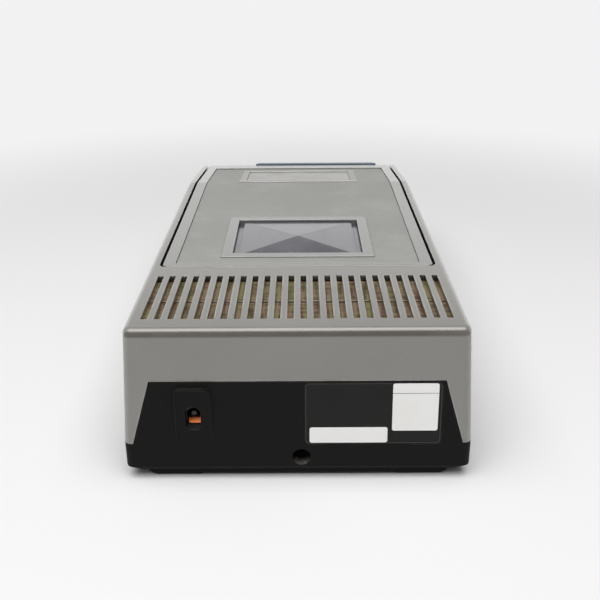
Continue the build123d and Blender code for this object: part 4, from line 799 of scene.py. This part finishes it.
# ---------------------------------------------------------------- eject spring
# A compression spring of fine wire, from the shelf on the front wall up to the web of the eject
# bar. It shortens a little as the bar rocks.
low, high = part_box("eject_spring")
spring_middle = (low + high) / 2
fine_wire = 0.0003
spring_radius = (high.x - low.x) / 2 - fine_wire
spring_foot = Vector((spring_middle.x, spring_middle.y, low.z + fine_wire))
spring_run = high.z - low.z - 2 * fine_wire
full_turns = 6
cut_end = 0.0005
pressed = wound_wire(
    "pressed_eject_spring",
    spring_foot,
    "Z",
    (spring_radius, 0, 0),
    fine_wire,
    full_turns,
    spring_run,
)
first_end = spring_foot + Vector((spring_radius, 0, 0))
straight_end(pressed, fine_wire, first_end, (0, -cut_end, 0))
straight_end(pressed, fine_wire, first_end + Vector((0, 0, spring_run)), (0, cut_end, 0))
smooth_wire(pressed)
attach(pressed, "housing")
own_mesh(pressed)
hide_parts("eject_spring")

# ---------------------------------------------------------------- reel hubs
# White acetal spindles with a waxy gloss, greyed where the cassettes' reels rub them, and natural
# nylon washers and retainers.
acetal = moulded_plastic(
    "white acetal",
    colour=(0.68, 0.68, 0.65),
    worn=(0.5, 0.49, 0.46),
    rough=0.36,
    grain_size=0.0004,
    grain_height=0.000008,
    dust=0.2,
)
finish_in(acetal, "drive_hub", "idler_hub", "switch_plunger")
nylon = moulded_plastic(
    "natural nylon",
    colour=(0.6, 0.58, 0.5),
    worn=(0.68, 0.66, 0.6),
    rough=0.45,
    grain_size=0.0004,
    grain_height=0.000008,
    dust=0.1,
)
finish_in(nylon, "thrust_washers", "hub_retainers", "belt_wheel")

# ---------------------------------------------------------------- felt ring
# A washer cut from red-brown felt, which lies loose under the free spindle's flange and brakes it
# a little.
felt, tree, surface = new_finish("brake felt")
fuzz = noise(tree, 0.0006, 5.0, 0.7)
felt_colour = between(
    tree, ramp(tree, fuzz, 0.35, 0.7), (0.12, 0.03, 0.025, 1), (0.28, 0.09, 0.07, 1)
)
feed(
    tree,
    surface,
    Base_Color=felt_colour,
    Roughness=ramp(tree, fuzz, 0.3, 0.7, 0.85, 0.98),
    Sheen_Weight=0.4,
    Normal=bump(tree, fuzz, 0.0001),
)
finish_in(felt, "drag_felt")

# ---------------------------------------------------------------- belt drive
# A smooth square rubber belt, moulded as a ring and stretched over the large wheel and a turned
# brass pulley.
belt_rubber = moulded_plastic(
    "belt rubber",
    colour=(0.014, 0.014, 0.014),
    worn=(0.03, 0.03, 0.03),
    rough=0.55,
    grain_size=0.0005,
    grain_height=0.00001,
    dust=0.1,
    edge=0.0002,
)
finish_in(belt_rubber, "drive_belt")
brass = plated_metal("turned brass", (0.68, 0.5, 0.22), (0.42, 0.3, 0.14), 0.22)
finish_in(brass, "motor_pulley")

# ---------------------------------------------------------------- motor
# A drawn steel can, plated dull, with drawing marks down its side. Two screws hold it to its
# bracket.
can_steel = plated_metal(
    "motor can",
    (0.5, 0.49, 0.45),
    (0.4, 0.38, 0.34),
    0.32,
    mark_height=0.000006,
    stretch=(1.0, 1.0, 0.1),
)
finish_in(can_steel, "motor")

# ---------------------------------------------------------------- circuit board
# Phenolic laminate, copper side down, held on the base's posts by four screws. Its paper fibres
# show through the resin.
laminate, tree, surface = new_finish("phenolic laminate")
fibres = noise(tree, 0.0012, 4.0, stretch=(0.2, 1.0, 1.0))
blotch = ramp(tree, noise(tree, 0.008, 3.0), 0.35, 0.65)
laminate_colour = between(
    tree, ramp(tree, fibres, 0.35, 0.65), (0.24, 0.12, 0.045, 1), (0.36, 0.21, 0.09, 1)
)
blotch = sums(tree, "MULTIPLY", blotch, 0.4)
feed(
    tree,
    surface,
    Base_Color=between(tree, blotch, laminate_colour, (0.2, 0.11, 0.05, 1)),
    Roughness=ramp(tree, fibres, 0.3, 0.7, 0.35, 0.5),
    Normal=bump(tree, fibres, 0.00001),
)
finish_in(laminate, "circuit_board")

# ---------------------------------------------------------------- parts on the board
# A capacitor in a shrunk sleeve with a pale stripe, a moulded transistor and lacquered resistors
# with coloured rings, all soldered from below.
low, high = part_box("capacitor")
capacitor_sleeve, tree, surface = new_finish("capacitor sleeve")
spot = place_on(tree)
stripe = sums(tree, "COMPARE", spot["X"], low.x, 0.0012)
top_rim = sums(tree, "GREATER_THAN", spot["Z"], high.z - 0.0004)
sleeve = between(tree, stripe, (0.02, 0.035, 0.14, 1), (0.4, 0.45, 0.55, 1))
shrink = noise(tree, 0.002, 3.0)
feed(
    tree,
    surface,
    Base_Color=between(tree, top_rim, sleeve, (0.55, 0.55, 0.54, 1)),
    Roughness=ramp(tree, shrink, 0.3, 0.7, 0.22, 0.34),
    Metallic=sums(tree, "MULTIPLY", top_rim, 0.9),
    Normal=bump(tree, shrink, 0.00001),
)
finish_in(capacitor_sleeve, "capacitor")
epoxy = moulded_plastic(
    "moulded epoxy",
    colour=(0.02, 0.02, 0.021),
    worn=(0.05, 0.05, 0.05),
    rough=0.5,
    grain_size=0.0003,
    grain_height=0.000008,
    dust=0.1,
    edge=0.0003,
)
finish_in(epoxy, "driver_transistor")

low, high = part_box("resistors")
lacquer, tree, surface = new_finish("resistor lacquer")
ring_places = 8.0  # along all of a resistor's length. Rings stand on the middle four.
along = shade(
    tree, "MapRange", n0=place_on(tree)["X"], n1=low.x, n2=high.x, n3=0.0, n4=ring_places
).outputs[0]
ring = sums(tree, "COMPARE", sums(tree, "FRACT", along), 0.5, 0.2)
ring = sums(tree, "MULTIPLY", ring, sums(tree, "COMPARE", along, 3.5, 2.0))
tint = sums(tree, "FLOOR", along)
tint = shade(tree, "TexWhiteNoise", {"noise_dimensions": "1D"}, W=tint).outputs["Color"]
ring_colour = between(tree, 0.45, tint, (0.05, 0.03, 0.02, 1))
gloss = noise(tree, 0.002, 2.0)
feed(
    tree,
    surface,
    Base_Color=between(tree, ring, (0.5, 0.34, 0.18, 1), ring_colour),
    Roughness=ramp(tree, gloss, 0.3, 0.7, 0.3, 0.42),
    Normal=bump(tree, gloss, 0.00001),
)
finish_in(lacquer, "resistors")
